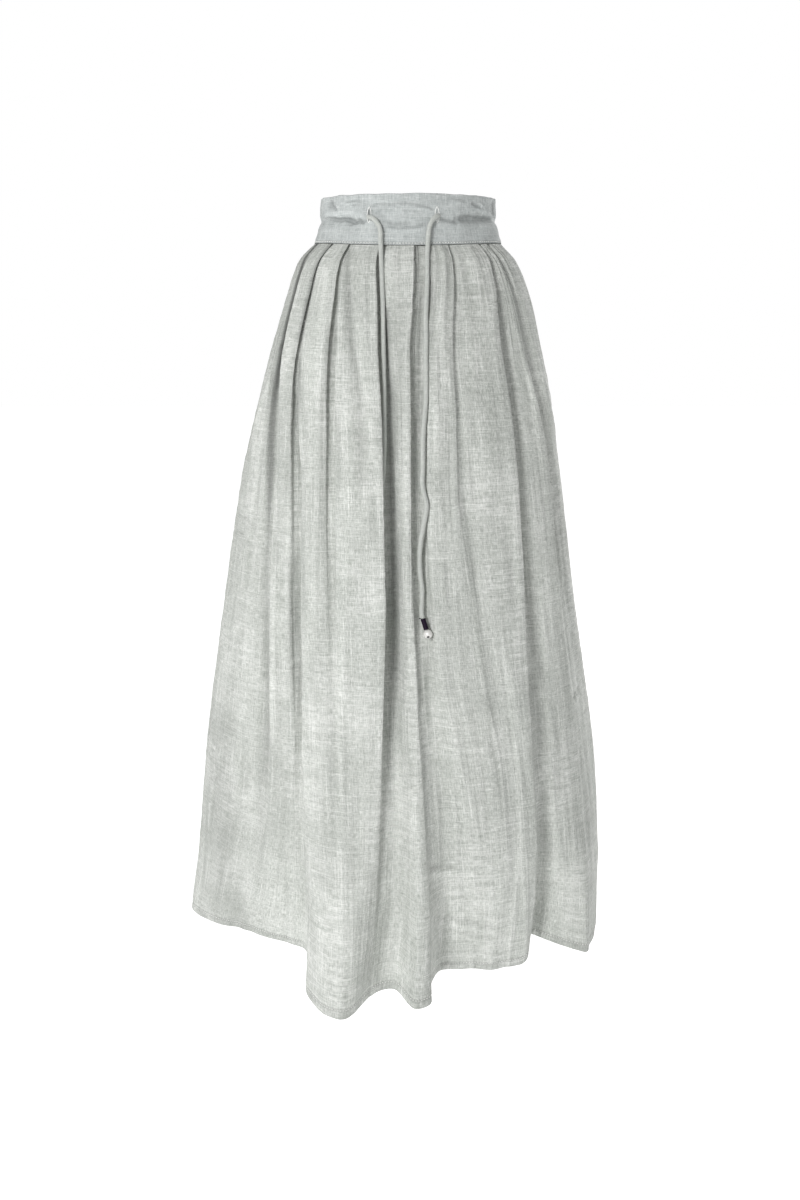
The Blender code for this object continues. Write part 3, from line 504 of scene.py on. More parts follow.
# Crinkles show where the noise "where" is high, and pressed creases where it is low: the noise
# at which they start and are full, and how much of them there is at each
CRINKLED = (0.45, 0.62, 0.0, 1.0)
PRESSED = (0.56, 0.42, 0.15, 1.0)
LINEN_PLACES = (0.10, 0.90, 0.5)  # of the deep, pale and middle colour in its ramp
THREAD_HEIGHT = 0.0008
THREAD_STRENGTH = 0.6         # of their relief
GRAIN_HEIGHT_SHARE = 0.6
# Linens: deep, middle and pale colour, and how strong their slubs and their folds (relief and painted light
# and shade) are
LINENS = dict(
    panel_linen=((0.36, 0.38, 0.35), (0.56, 0.58, 0.545), (0.80, 0.81, 0.78), 1.0, 1.0),
    band_linen=((0.31, 0.336, 0.331), (0.46, 0.486, 0.48), (0.63, 0.65, 0.64), 0.85, 0.4),
    lining_cotton=((0.50, 0.51, 0.49), (0.60, 0.61, 0.58), (0.70, 0.70, 0.68), 0.35, 0.5),
    cord_linen=((0.38, 0.40, 0.38), (0.50, 0.52, 0.49), (0.64, 0.65, 0.62), 0.6, 0.0),
)
# Plain materials: colour, roughness, grain (bumps a metre) and its depth, specular level, coat
PLAIN_MATERIALS = dict(
    thread=((0.84, 0.85, 0.82), 0.7, 900, 0.0002, 0.3, 0.0),
    rim_thread=((0.85, 0.86, 0.84), 0.7, 900, 0.0002, 0.3, 0.0),
    plum_sleeve=((0.010, 0.003, 0.015), 0.55, 500, 0.0001, 0.15, 0.0),
    pearl_bead=((0.80, 0.79, 0.76), 0.16, 160, 0.00005, 0.6, 0.6),
    bead_eye=((0.10, 0.10, 0.10), 0.5, 900, 0.0001, 0.3, 0.0),
)
# Their grain: its place in the ramp and the share of the colour there, and its relief's strength
GRAIN_TONES = ((0.3, 0.8), (0.7, 1.15))
GRAIN_STRENGTH = 0.4
PANEL_SEEDS = (11, 23)        # front and back
BAND_SEEDS = (41, 53)
LINEN_SETTINGS = {"Roughness": 0.88, "Specular IOR Level": 0.25, "Sheen Weight": 0.10,
                  "Sheen Roughness": 0.5}

# Studio
CAMERA_PLACE = (-0.0103, -1.478, -0.103)
CAMERA_DOWN = 15.2            # degrees
CAMERA_LENS = 32.4            # mm, on a sensor 36 mm wide
FLOOR_SIZE = 24
FLOOR_HEIGHT = -1.30
FLOOR_GREY = 0.5
FLOOR_GRAIN = 60              # bumps a metre
FLOOR_RELIEF = (0.1, 0.0005)  # strength and height of its grain
SKY_BEHIND = 1.0              # the white backdrop, behind the skirt as the camera sees it
SKY_ROUND = 0.70              # the same band of sky on the other sides
SKY_TOP = 0.16
SKY_BAND = (0.28, 0.5)        # height of a direction at which the band of sky starts to fade and ends
SKY_BACK = (0.70, 0.86)       # depth of a direction at which the backdrop starts and is full
FLOOR_BEHIND = 1.0
FLOOR_FRONT = 0.45
FLOOR_FADE = (-1.0, -0.34)    # y at which the floor's own light starts to grow and is full
KEY_PLACE = (-1.45, -2.75, 0.75)
KEY_POWER = 70
KEY_BEHIND_PLACE = (2.2, 2.4, 0.75)
KEY_BEHIND_POWER = 55
KEY_AIM = (0, 0, -0.60)
KEY_SIZE = 0.9


def smooth_between(knots, values, at):
    """A curve through values at knots that never overshoots them (monotone cubic)."""
    x = np.asarray(knots, float)
    y = np.asarray(values, float)
    at = np.asarray(at, float)
    step = np.diff(x)
    slope = np.diff(y) / step
    tangent = np.zeros(len(x))
    tangent[0], tangent[-1] = slope[0], slope[-1]
    for k in range(1, len(x) - 1):
        if slope[k - 1] * slope[k] > 0:
            before = 2 * step[k] + step[k - 1]
            after = step[k] + 2 * step[k - 1]
            tangent[k] = (before + after) / (before / slope[k - 1] + after / slope[k])
    k = np.clip(np.searchsorted(x, at, side="right") - 1, 0, len(x) - 2)
    t = (at - x[k]) / step[k]
    return (y[k] * (1 + 2 * t) * (1 - t) ** 2 + tangent[k] * step[k] * t * (1 - t) ** 2
            + y[k + 1] * t * t * (3 - 2 * t) + tangent[k + 1] * step[k] * t * t * (t - 1))


def at_levels(values, drop):
    return float(smooth_between(list(LEVELS.values()), values, drop))


def oval(turn, half_width, front, back, shift):
    """Point, outward normal and forward tangent of an oval ring at a turn."""
    angle = np.radians(turn)
    depth = np.where(np.cos(angle) > 0, front, back)
    point = np.stack([shift + half_width * np.sin(angle), -depth * np.cos(angle)], -1)
    normal = np.stack([np.sin(angle) / half_width, -np.cos(angle) / depth], -1)
    normal /= np.linalg.norm(normal, axis=-1, keepdims=True)
    tangent = np.stack([-normal[..., 1], normal[..., 0]], -1)
    return point, normal, tangent


def body_at(drop):
    """Sizes of the smooth body of the skirt at a drop."""
    return [float(smooth_between(SECTIONS["drop"], SECTIONS[field], drop))
            for field in ("half_width", "front", "back", "shift")]


def seam_rise(turn, drop):
    """How much higher than at the front centre the cloth lies, near the seam."""
    angle = np.radians(turn)
    share = np.where(np.cos(angle) > 0, np.sin(angle) ** 2, 1.0)
    fade = max(0.0, 1 - drop / SEAM_RISE_FADE) ** 2
    return SEAM_RISE * share * fade


def front_stations(drop):
    """Turn, slide and stand of each point that the front's ring passes at a drop."""
    stations = [(-90 + SIDE_GAP_TURN, 0.0, 0.0)]
    for index, line in enumerate(FRONT_FOLDS):
        turn = at_levels(line.turns, drop)
        stand = at_levels(line.stands, drop)
        if line.kind == "soft":
            stations.append((turn, 0.0, stand))
            continue
        tuck = at_levels(line.tuck, drop)
        beside = FRONT_FOLDS[index + (1 if line.kind == "right" else -1)]
        floor_stand = at_levels(beside.stands, drop)
        floor_turn = at_levels(beside.turns, drop)
        tucked = (turn + TUCK_TURN_SHARE * (floor_turn - turn),
                  -tuck if line.kind == "right" else tuck,
                  stand + TUCK_STAND_SHARE * (floor_stand - stand))
        edge = (turn, 0.0, stand)
        stations += [edge, tucked] if line.kind == "right" else [tucked, edge]
    stations.append((90 - SIDE_GAP_TURN, 0.0, 0.0))
    return stations


def back_stations(drop):
    """The same for the back, from the wearer's left side seam round to the right."""
    pleats = []
    for pleat in BACK_PLEATS:
        edge_turn = float(smooth_between((0, LEVELS["thigh"], SKIRT_LENGTH),
                                         (pleat.seam, pleat.thigh, pleat.hem), drop))
        depths = (BACK_SEAM_DEPTH, pleat.depth_hip, pleat.depth_knee, pleat.depth_hem)
        depth = float(smooth_between((0, LEVELS["hip"], LEVELS["knee"], SKIRT_LENGTH), depths, drop))
        lobe = float(smooth_between((0, LEVELS["knee"], SKIRT_LENGTH), (0, 1, pleat.lobe), drop))
        tuck = min(BACK_TUCK_MOST, BACK_TUCK_SHARE * depth)
        way = 1 if pleat.facing == "right" else -1
        edge = BACK_EDGE_SHARE * lobe
        line = [(edge_turn - way * BACK_CROWN_TURN, 0.0, lobe),
                (edge_turn, 0.0, edge),
                (edge_turn + way * BACK_TUCK_TURN, -way * tuck, edge - TUCK_STAND_SHARE * depth),
                (edge_turn + way * BACK_FLOOR_TURN, 0.0, lobe - depth),
                (edge_turn + way * BACK_SLOPE_TURN, 0.0, BACK_SLOPE_SHARE * (lobe - depth))]
        pleats += line if way > 0 else line[::-1]
    stations = [(-90 + SIDE_GAP_TURN, 0.0, 0.0), (-BACK_PLAIN_TURN, 0.0, 0.0)]
    stations += pleats
    stations += [(BACK_PLAIN_TURN, 0.0, 0.0), (90 - SIDE_GAP_TURN, 0.0, 0.0)]
    return [(turn + 180, slide, stand) for turn, slide, stand in stations]


# Noise, curves and relief

def gradient_noise(x, y, seed):
    """Smooth noise between about -1 and 1, with one bump a unit."""
    random = np.random.default_rng(seed)
    shuffle = random.permutation(512)
    angles = random.uniform(0, 2 * math.pi, 512)
    x0, y0 = np.floor(x).astype(int), np.floor(y).astype(int)
    fx, fy = x - x0, y - y0
    sx, sy = fx * fx * fx * (fx * (fx * 6 - 15) + 10), fy * fy * fy * (fy * (fy * 6 - 15) + 10)

    def corner(i, j):
        angle = angles[shuffle[(shuffle[(x0 + i) % 512] + y0 + j) % 512]]
        return np.cos(angle) * (fx - i) + np.sin(angle) * (fy - j)

    upper = corner(0, 0) * (1 - sx) + corner(1, 0) * sx
    lower = corner(0, 1) * (1 - sx) + corner(1, 1) * sx
    return 1.5 * (upper * (1 - sy) + lower * sy)


def cloth_noise(u, v, seed, around, down, number=0):
    """Noise on cloth coordinates in metres, with so many bumps a metre round and down."""
    return gradient_noise(u * around, v * down, seed + number)


def curve_with(points, steps):
    """Centripetal Catmull-Rom curve with steps[k] points on span k, and the last point."""
    p = np.vstack([2 * points[0] - points[1], points, 2 * points[-1] - points[-2]])
    gaps = np.maximum(1e-6, np.linalg.norm(np.diff(p, axis=0), axis=1)) ** 0.5
    parts = []
    for k in range(1, len(p) - 2):
        t1, t2, t3 = gaps[k - 1], gaps[k - 1] + gaps[k], gaps[k - 1] + gaps[k] + gaps[k + 1]
        t = np.linspace(t1, t2, steps[k - 1], endpoint=False)[:, None]
        a1 = (t1 - t) / t1 * p[k - 1] + t / t1 * p[k]
        a2 = (t2 - t) / (t2 - t1) * p[k] + (t - t1) / (t2 - t1) * p[k + 1]
        a3 = (t3 - t) / (t3 - t2) * p[k + 1] + (t - t2) / (t3 - t2) * p[k + 2]
        b1 = (t2 - t) / t2 * a1 + t / t2 * a2
        b2 = (t3 - t) / (t3 - t1) * a2 + (t - t1) / (t3 - t1) * a3
        parts.append((t2 - t) / (t2 - t1) * b1 + (t - t1) / (t2 - t1) * b2)
    parts.append(p[-2:-1])
    return np.vstack(parts)


def arc_lengths(points):
    """Distance along a path at each of its points."""
    return np.concatenate([[0], np.cumsum(np.linalg.norm(np.diff(points, axis=0), axis=1))])


def points_at(at, along, points):
    """Points, or normals, at some distances along a path."""
    return np.column_stack([np.interp(at, along, points[:, k]) for k in range(3)])


def even_points(route, count):
    """Evenly spaced points on a smooth route given in mm, in metres, and its length."""
    smooth = curve_with(np.array(route) / 1000, [CORD_CURVE_STEPS] * (len(route) - 1))
    along = arc_lengths(smooth)
    at = np.linspace(0, along[-1], count)
    return points_at(at, along, smooth), along[-1]


def nearest_on_path(x, y, path):
    """Distance to a polyline and how far along it the nearest point lies, 0 to 1."""
    best = np.full(x.shape, 1e9)
    share = np.zeros(x.shape)
    total = len(path) - 1
    for k, ((x0, y0), (x1, y1)) in enumerate(zip(path, path[1:])):
        dx, dy = x1 - x0, y1 - y0
        t = np.clip(((x - x0) * dx + (y - y0) * dy) / (dx * dx + dy * dy), 0, 1)
        distance = np.hypot(x - x0 - t * dx, y - y0 - t * dy)
        nearer = distance < best
        best = np.where(nearer, distance, best)
        share = np.where(nearer, (k + t) / total, share)
    return best, share


def crease_height(x, y, crease, path):
    """What one crease adds at each point, in metres: a ridge or valley that fades at its ends."""
    distance, share = nearest_on_path(x, y, path)
    fade = np.sqrt(np.clip(np.minimum(share, 1 - share) / CREASE_END, 0, 1))
    shape = np.exp(-(distance * 1000 / crease.width / CREASE_SPREAD) ** 2)
    return CREASE_GAIN * crease.amount / 1000 * fade * shape


def on_panel(turn, path, field):
    """A panel's turns, and a path of turns and drops, as metres round the skirt at the path's height."""
    middle = sum(drop for _, drop in path) / len(path)
    radius = np.interp(middle, SECTIONS["drop"], SECTIONS[field])
    return np.radians(turn) * radius, [(math.radians(t) * radius, drop) for t, drop in path]


def panel_creases(turn, drop, creases):
    """Height in metres that the creases add at each point of a panel."""
    relief = np.zeros(turn.shape)
    for crease in creases:
        around, path = on_panel(turn, crease.path, "front")
        relief += crease_height(around, drop, crease, path)
    return relief


def recess_shade(turn, drop, shades):
    """What is left of the light at each point of a panel beside its narrow recesses."""
    light = np.ones(turn.shape)
    for shade in shades:
        around, path = on_panel(turn, shade.path, "half_width")
        distance, share = nearest_on_path(around, drop, path)
        fade = np.clip((1 - share) / SHADE_END, 0, 1)
        light *= 1 - shade.amount * fade * np.exp(-(distance * 1000 / shade.width) ** 2)
    return light


def ridged(noise):
    """Turns smooth noise into sharp crests between soft hollows."""
    return 0.35 - np.abs(noise) ** 0.8


def crumple(u, v, seed):
    """Soft folds of worn linen, in metres, on cloth coordinates in metres."""
    height, *noise = CRUMPLE_STRAY
    stray = height * cloth_noise(u, v, seed, *noise)
    upper = np.exp(-(v / CRUMPLE_UPPER) ** 2)
    where = dict(all=1.0, seam=np.exp(-v / CRUMPLE_SEAM))
    for key, (mean, varies, *noise) in CRUMPLE_WHERE.items():
        where[key] = np.clip(mean + varies * cloth_noise(u, v, seed, *noise), 0, 1)
    relief = np.zeros(u.shape)
    for fold in CRUMPLES:
        noise = gradient_noise((u + fold.slant * v + fold.stray * stray) * fold.round,
                               (v - fold.slant * u + fold.stray_down * stray) * fold.down, seed + fold.seed)
        height = fold.height + fold.upper * upper
        relief += height * (ridged(noise) if fold.sharp else noise) * where[fold.where]
    return relief / 1000


# Meshes

def grid_normals(grid):
    """Unit normals of a grid of points whose columns run round to +X and rows run down."""
    along = np.gradient(grid, axis=1)
    down = np.gradient(grid, axis=0)
    normal = np.cross(down, along)
    return normal / np.maximum(1e-12, np.linalg.norm(normal, axis=2, keepdims=True))


def riding(name, mesh, material):
    """The object of a mesh, in the scene and riding on the skirt."""
    mesh.shade_smooth()
    mesh.materials.append(material)
    piece = bpy.data.objects.new(name, mesh)
    bpy.context.scene.collection.objects.link(piece)
    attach(piece, "root")
    return piece


def grid_object(name, grid, uv, material, closed=False, holes=None):
    """A mesh from a grid of points, with its cloth coordinates in metres as UVs."""
    rows, columns = grid.shape[:2]
    index = np.arange(rows * columns).reshape(rows, columns)
    if closed:
        index = np.column_stack([index, index[:, 0]])
    quads = np.stack([index[:-1, :-1], index[1:, :-1], index[1:, 1:], index[:-1, 1:]], -1)
    quads = quads.reshape(-1, 4) if holes is None else quads[~holes]
    mesh = bpy.data.meshes.new(name)
    mesh.from_pydata(grid.reshape(-1, 3), [], quads)
    corner = np.empty(len(mesh.loops), dtype=np.int64)
    mesh.loops.foreach_get("vertex_index", corner)
    values = uv.reshape(-1, 2)[corner]
    if closed:
        after_seam = np.tile([0, 0, 1, 1], len(quads)) == 1
        wrapped = (corner % columns == 0) & after_seam
        values[wrapped, 0] += uv[0, -1, 0] + uv[0, 1, 0]
    cloth = mesh.uv_layers.new(name="cloth")
    cloth.data.foreach_set("uv", values.astype(np.float32).reshape(-1))
    return riding(name, mesh, material)


def cloth_uv(grid, across, down):
    """Cloth coordinates for each point of a grid."""
    shape = grid.shape[:2]
    return np.stack([np.broadcast_to(across, shape), np.broadcast_to(down, shape)], -1)


def paint_light(piece, shade):
    """Store a grey multiplier for each vertex as an attribute: the painted light and shade on its colour."""
    values = np.ones((len(piece.data.vertices), 4), dtype=np.float32)
    values[:, :3] = np.reshape(shade, (-1, 1))
    layer = piece.data.color_attributes.new("painted_light", "FLOAT_COLOR", "POINT")
    layer.data.foreach_set("color", values.reshape(-1))


def transport_frames(points):
    """Two unit vectors across a path at each point, carried along it without twist."""
    tangent = np.gradient(points, axis=0)
    tangent /= np.linalg.norm(tangent, axis=1, keepdims=True)
    first = np.cross(tangent[0], (0.0, 0.0, 1.0) if abs(tangent[0][2]) < 0.9 else (1.0, 0.0, 0.0))
    side = [first / np.linalg.norm(first)]
    for along in tangent[1:]:
        vector = side[-1] - along * np.dot(side[-1], along)
        side.append(vector / np.linalg.norm(vector))
    side = np.array(side)
    return side, np.cross(tangent, side)


def tube(name, points, radius, material, cap=True):
    """A tube round a path, with a row of radii for each of its points."""
    sides = radius.shape[1]
    side, up = transport_frames(points)
    angle = np.linspace(0, 2 * math.pi, sides, endpoint=False)
    ring = np.cos(angle)[None, :, None] * side[:, None] + np.sin(angle)[None, :, None] * up[:, None]
    grid = points[:, None] + ring * radius[..., None]
    along = arc_lengths(points)
    if cap:
        grid = np.concatenate([np.repeat(points[:1, None], sides, 1), grid,
                               np.repeat(points[-1:, None], sides, 1)])
        along = np.concatenate([[0], along, along[-1:]])
    uv = cloth_uv(grid, angle * float(np.mean(radius)), along[:, None])
    return grid_object(name, grid, uv, material, closed=True)


def turned(name, profile, place, down, sides, material):
    """A piece turned round an axis: profile gives distances down the axis and radii, in mm."""
    axis = Vector(down).normalized()
    turn = Vector((0, 0, 1)).rotation_difference(axis)
    across, over = turn @ Vector((1, 0, 0)), turn @ Vector((0, 1, 0))
    angle = np.linspace(0, 2 * math.pi, sides, endpoint=False)
    ring = np.cos(angle)[:, None] * np.array(across) + np.sin(angle)[:, None] * np.array(over)
    grid = np.array([np.array(place) + np.array(axis) * reach / 1000 + ring * radius / 1000
                     for reach, radius in profile])
    uv = cloth_uv(grid, angle * TURNED_RADIUS, arc_lengths(np.array(profile) / 1000)[:, None])
    return grid_object(name, grid, uv, material, closed=True)


def stitch_row(name, points, normals, material):
    """A run of stitches along points on cloth: each a small rounded bar with sunk ends."""
    along = arc_lengths(points)
    starts = np.arange(STITCH_GAP, along[-1] - STITCH_LENGTH - STITCH_GAP, STITCH_LENGTH + STITCH_GAP)
    vertices, faces = [], []
    for start in starts:
        at = start + np.array([share for share, _ in STITCH_PROFILE]) * STITCH_LENGTH
        place, out = points_at(at, along, points), points_at(at, along, normals)
        out /= np.linalg.norm(out, axis=1, keepdims=True)
        forward = place[-1] - place[0]
        forward /= np.linalg.norm(forward)
        side = np.cross(forward, out[2])
        base = len(vertices)
        for (_, rise), middle, up in zip(STITCH_PROFILE, place, out):
            centre = middle + up * rise * STITCH_THICKNESS
            for angle in range(STITCH_SIDES):
                a = 2 * math.pi * angle / STITCH_SIDES
                vertices.append(centre + (math.cos(a) * side + math.sin(a) * up) * STITCH_THICKNESS / 2)
        for ring in range(base, len(vertices) - STITCH_SIDES, STITCH_SIDES):
            for k in range(STITCH_SIDES):
                a, b = ring + k, ring + (k + 1) % STITCH_SIDES
                faces.append((a, b, b + STITCH_SIDES, a + STITCH_SIDES))
    mesh = bpy.data.meshes.new(name)
    mesh.from_pydata([tuple(v) for v in vertices], [], faces)
    return riding(name, mesh, material)


# Materials

def new_material(name, settings):
    """A material, its node tree, and its shader with uniform settings."""
    material = bpy.data.materials.new(name)
    material.use_nodes = True
    shader = material.node_tree.nodes["Principled BSDF"]
    for key, value in settings.items():
        shader.inputs[key].default_value = value
    return material, material.node_tree, shader


def add(tree, kind, **inputs):
    """A node with its properties and inputs set: i0 and i1 are its first two inputs."""
    made = tree.nodes.new(kind)
    for key, value in inputs.items():
        if hasattr(made, key):
            setattr(made, key, value)
            continue
        socket = made.inputs[int(key[1:])] if key in ("i0", "i1") else made.inputs[key]
        if isinstance(value, bpy.types.NodeSocket):
            tree.links.new(value, socket)
        else:
            socket.default_value = value
    return made


def streaks(tree, coords, scale, detail=2.0, roughness=0.55):
    """Noise stretched by the scale, 0 to 1."""
    placed = add(tree, "ShaderNodeMapping", Vector=coords, Scale=scale)
    noise = add(tree, "ShaderNodeTexNoise", Vector=placed.outputs[0], Scale=1.0, Detail=detail,
                Roughness=roughness)
    return noise.outputs["Fac"]


def combine(tree, operation, a, b):
    return add(tree, "ShaderNodeMath", operation=operation, i0=a, i1=b).outputs[0]


def map_range(tree, value, low, high, at_low, at_high):
    made = add(tree, "ShaderNodeMapRange", Value=value)
    for key, number in (("From Min", low), ("From Max", high), ("To Min", at_low), ("To Max", at_high)):
        made.inputs[key].default_value = number
    return made.outputs[0]


def crests(tree, noise):
    """Sharp crests, at 1, between soft hollows."""
    away = combine(tree, "ABSOLUTE", combine(tree, "SUBTRACT", noise, 0.5), 0.0)
    return combine(tree, "SUBTRACT", 1.0, combine(tree, "MULTIPLY", away, 2.0))


def colour_ramp(tree, value, *stops):
    """Colour by value: stops are its first and last, then any between, each a place and a colour."""
    ramp = add(tree, "ShaderNodeValToRGB", Fac=value)
    for element, (place, colour) in zip(ramp.color_ramp.elements, stops):
        element.position, element.color = place, (*colour, 1)
    for place, colour in stops[2:]:
        ramp.color_ramp.elements.new(place).color = (*colour, 1)
    return ramp.outputs["Color"]


def bump(tree, strength, distance, height, **more):
    made = add(tree, "ShaderNodeBump", Strength=strength, Distance=distance, Height=height, **more)
    return made.outputs[0]


def linen(name, deep, mid, pale, slub, folds):
    """Slubby plain-weave linen on cloth coordinates: uneven threads both ways, small creases."""
    material, tree, shader = new_material(name, LINEN_SETTINGS)
    coords = add(tree, "ShaderNodeTexCoord").outputs["UV"]
    field = {key: streaks(tree, coords, (*scale, 1), detail, roughness)
             for key, scale, detail, roughness in LINEN_NOISE}
    for key, low, high in LINEN_SPARSE:
        field[key] = map_range(tree, field[key], low, high, 0.0, 1.0)
    for key in ("ridges", "ripples", "pressed"):
        field[key] = crests(tree, field[key])
    crinkled = map_range(tree, field["where"], *CRINKLED)
    elsewhere = map_range(tree, field["where"], *PRESSED)
    field["crinkles"] = combine(tree, "MULTIPLY", field["crinkles"], crinkled)
    narrow = combine(tree, "POWER", field["pressed"], PRESSED_POWER)
    field["pressed"] = combine(tree, "MULTIPLY", narrow, elsewhere)

    place = 0.5
    # The folds' share paints light and shade on their crests and hollows.
    for shares, gain in ((THREAD_SHARES, slub), (PATCH_SHARES, 1.0), (FOLD_SHADING_SHARES, folds)):
        for key, (middle, share) in shares.items():
            centred = combine(tree, "SUBTRACT", field[key], middle)
            place = combine(tree, "ADD", combine(tree, "MULTIPLY", centred, share * gain), place)
    colour = colour_ramp(tree, place, *zip(LINEN_PLACES, (deep, pale, mid)))
    # Multiply the colour by the painted light and shade stored on each vertex.
    painted_light = add(tree, "ShaderNodeAttribute", attribute_name="painted_light").outputs["Color"]
    mixed = add(tree, "ShaderNodeMix", data_type="RGBA", blend_type="MULTIPLY")
    mixed.inputs["Factor"].default_value = 1.0
    tree.links.new(colour, mixed.inputs["A"])
    tree.links.new(painted_light, mixed.inputs["B"])
    tree.links.new(mixed.outputs["Result"], shader.inputs["Base Color"])

    creased = 0.0
    for key, height in FOLD_HEIGHTS.items():
        creased = combine(tree, "ADD", combine(tree, "MULTIPLY", field[key], height * folds), creased)
    threads = combine(tree, "ADD", combine(tree, "ADD", field["warp"], field["weft"]),
                      combine(tree, "MULTIPLY", field["grain"], GRAIN_HEIGHT_SHARE))
    normal = bump(tree, THREAD_STRENGTH, THREAD_HEIGHT, threads, Normal=bump(tree, 1.0, 1.0, creased))
    tree.links.new(normal, shader.inputs["Normal"])
    return material


def plain_material(name, colour, roughness, grain_scale, grain_depth, specular, coat):
    """A smooth material with fine grain in colour and relief."""
    material, tree, shader = new_material(name, {
        "Roughness": roughness, "Specular IOR Level": specular, "Coat Weight": coat})
    coords = add(tree, "ShaderNodeTexCoord").outputs["Object"]
    grain = streaks(tree, coords, (grain_scale,) * 3, 3.0)
    tones = [(place, tuple(min(1.0, share * c) for c in colour)) for place, share in GRAIN_TONES]
    tree.links.new(colour_ramp(tree, grain, *tones), shader.inputs["Base Color"])
    tree.links.new(bump(tree, GRAIN_STRENGTH, grain_depth, grain), shader.inputs["Normal"])
    return material


def floor_paper():
    """Matt white studio paper that gives off light of its own, most of it behind the skirt."""
    material, tree, shader = new_material("floor_paper", {
        "Base Color": (*(FLOOR_GREY,) * 3, 1), "Roughness": 1.0, "Specular IOR Level": 0.0,
        "Emission Color": (1, 1, 1, 1)})
    coords = add(tree, "ShaderNodeTexCoord").outputs["Object"]
    grain = streaks(tree, coords, (FLOOR_GRAIN,) * 3)
    tree.links.new(bump(tree, *FLOOR_RELIEF, grain), shader.inputs["Normal"])
    depth = add(tree, "ShaderNodeSeparateXYZ", Vector=coords).outputs["Y"]
    tree.links.new(map_range(tree, depth, *FLOOR_FADE, FLOOR_FRONT, FLOOR_BEHIND),
                   shader.inputs["Emission Strength"])
    return material


# Panels

def ring_points(stations, drop):
    """The stations of a ring at a drop, as points seen from above."""
    turn, slide, stand = np.array(stations).T
    point, normal, tangent = oval(turn, *body_at(drop))
    return point + normal * stand[:, None] / 1000 + tangent * slide[:, None] / 1000


def ring_at(stations, drop, steps):
    """The cloth's ring at a drop, as points in space: the frame's own ring, finer."""
    half_width, front, _, shift = body_at(drop)
    ring = curve_with(ring_points(stations, drop), steps)
    across, along = (ring[:, 0] - shift) / half_width, -ring[:, 1] / front
    turn = np.degrees(np.arctan2(across, along))
    height = SEAM_FRONT - SEAM_GAP - FLARE_ROOM - drop + seam_rise(turn, drop)
    stand_out = (np.hypot(across, along) - 1) * front
    uneven = HEM_UNEVEN * max(0.0, (drop - HEM_UNEVEN_FROM) / (SKIRT_LENGTH - HEM_UNEVEN_FROM)) ** 2
    lift = np.interp(turn, *np.array(HEM_LIFT).T) / 1000
    lift = lift * max(0.0, (drop - HEM_LIFT_FROM) / (SKIRT_LENGTH - HEM_LIFT_FROM)) ** 2
    return np.column_stack([ring, height - uneven * stand_out + lift])


def span_steps(stations_at):
    """How many points each span of a panel's rings gets, from its length low down."""
    lengths = [np.linalg.norm(np.diff(ring_points(stations_at(drop), drop), axis=0), axis=1)
               for drop in SPAN_DROPS]
    return np.maximum(SPAN_LEAST, np.ceil(np.mean(lengths, axis=0) / SPAN_LENGTH)).astype(int)


def nearest_row(drops, drop):
    return int(np.argmin(np.abs(drops - drop)))


def bell(distance, width):
    """1 at a distance of 0, and next to nothing beyond twice the width."""
    return np.exp(-(distance / width) ** 2)


def eased(distance, blur):
    """0 well below and 1 well above a distance of 0, smooth over the blur."""
    return 0.5 + 0.5 * np.tanh(distance / blur)


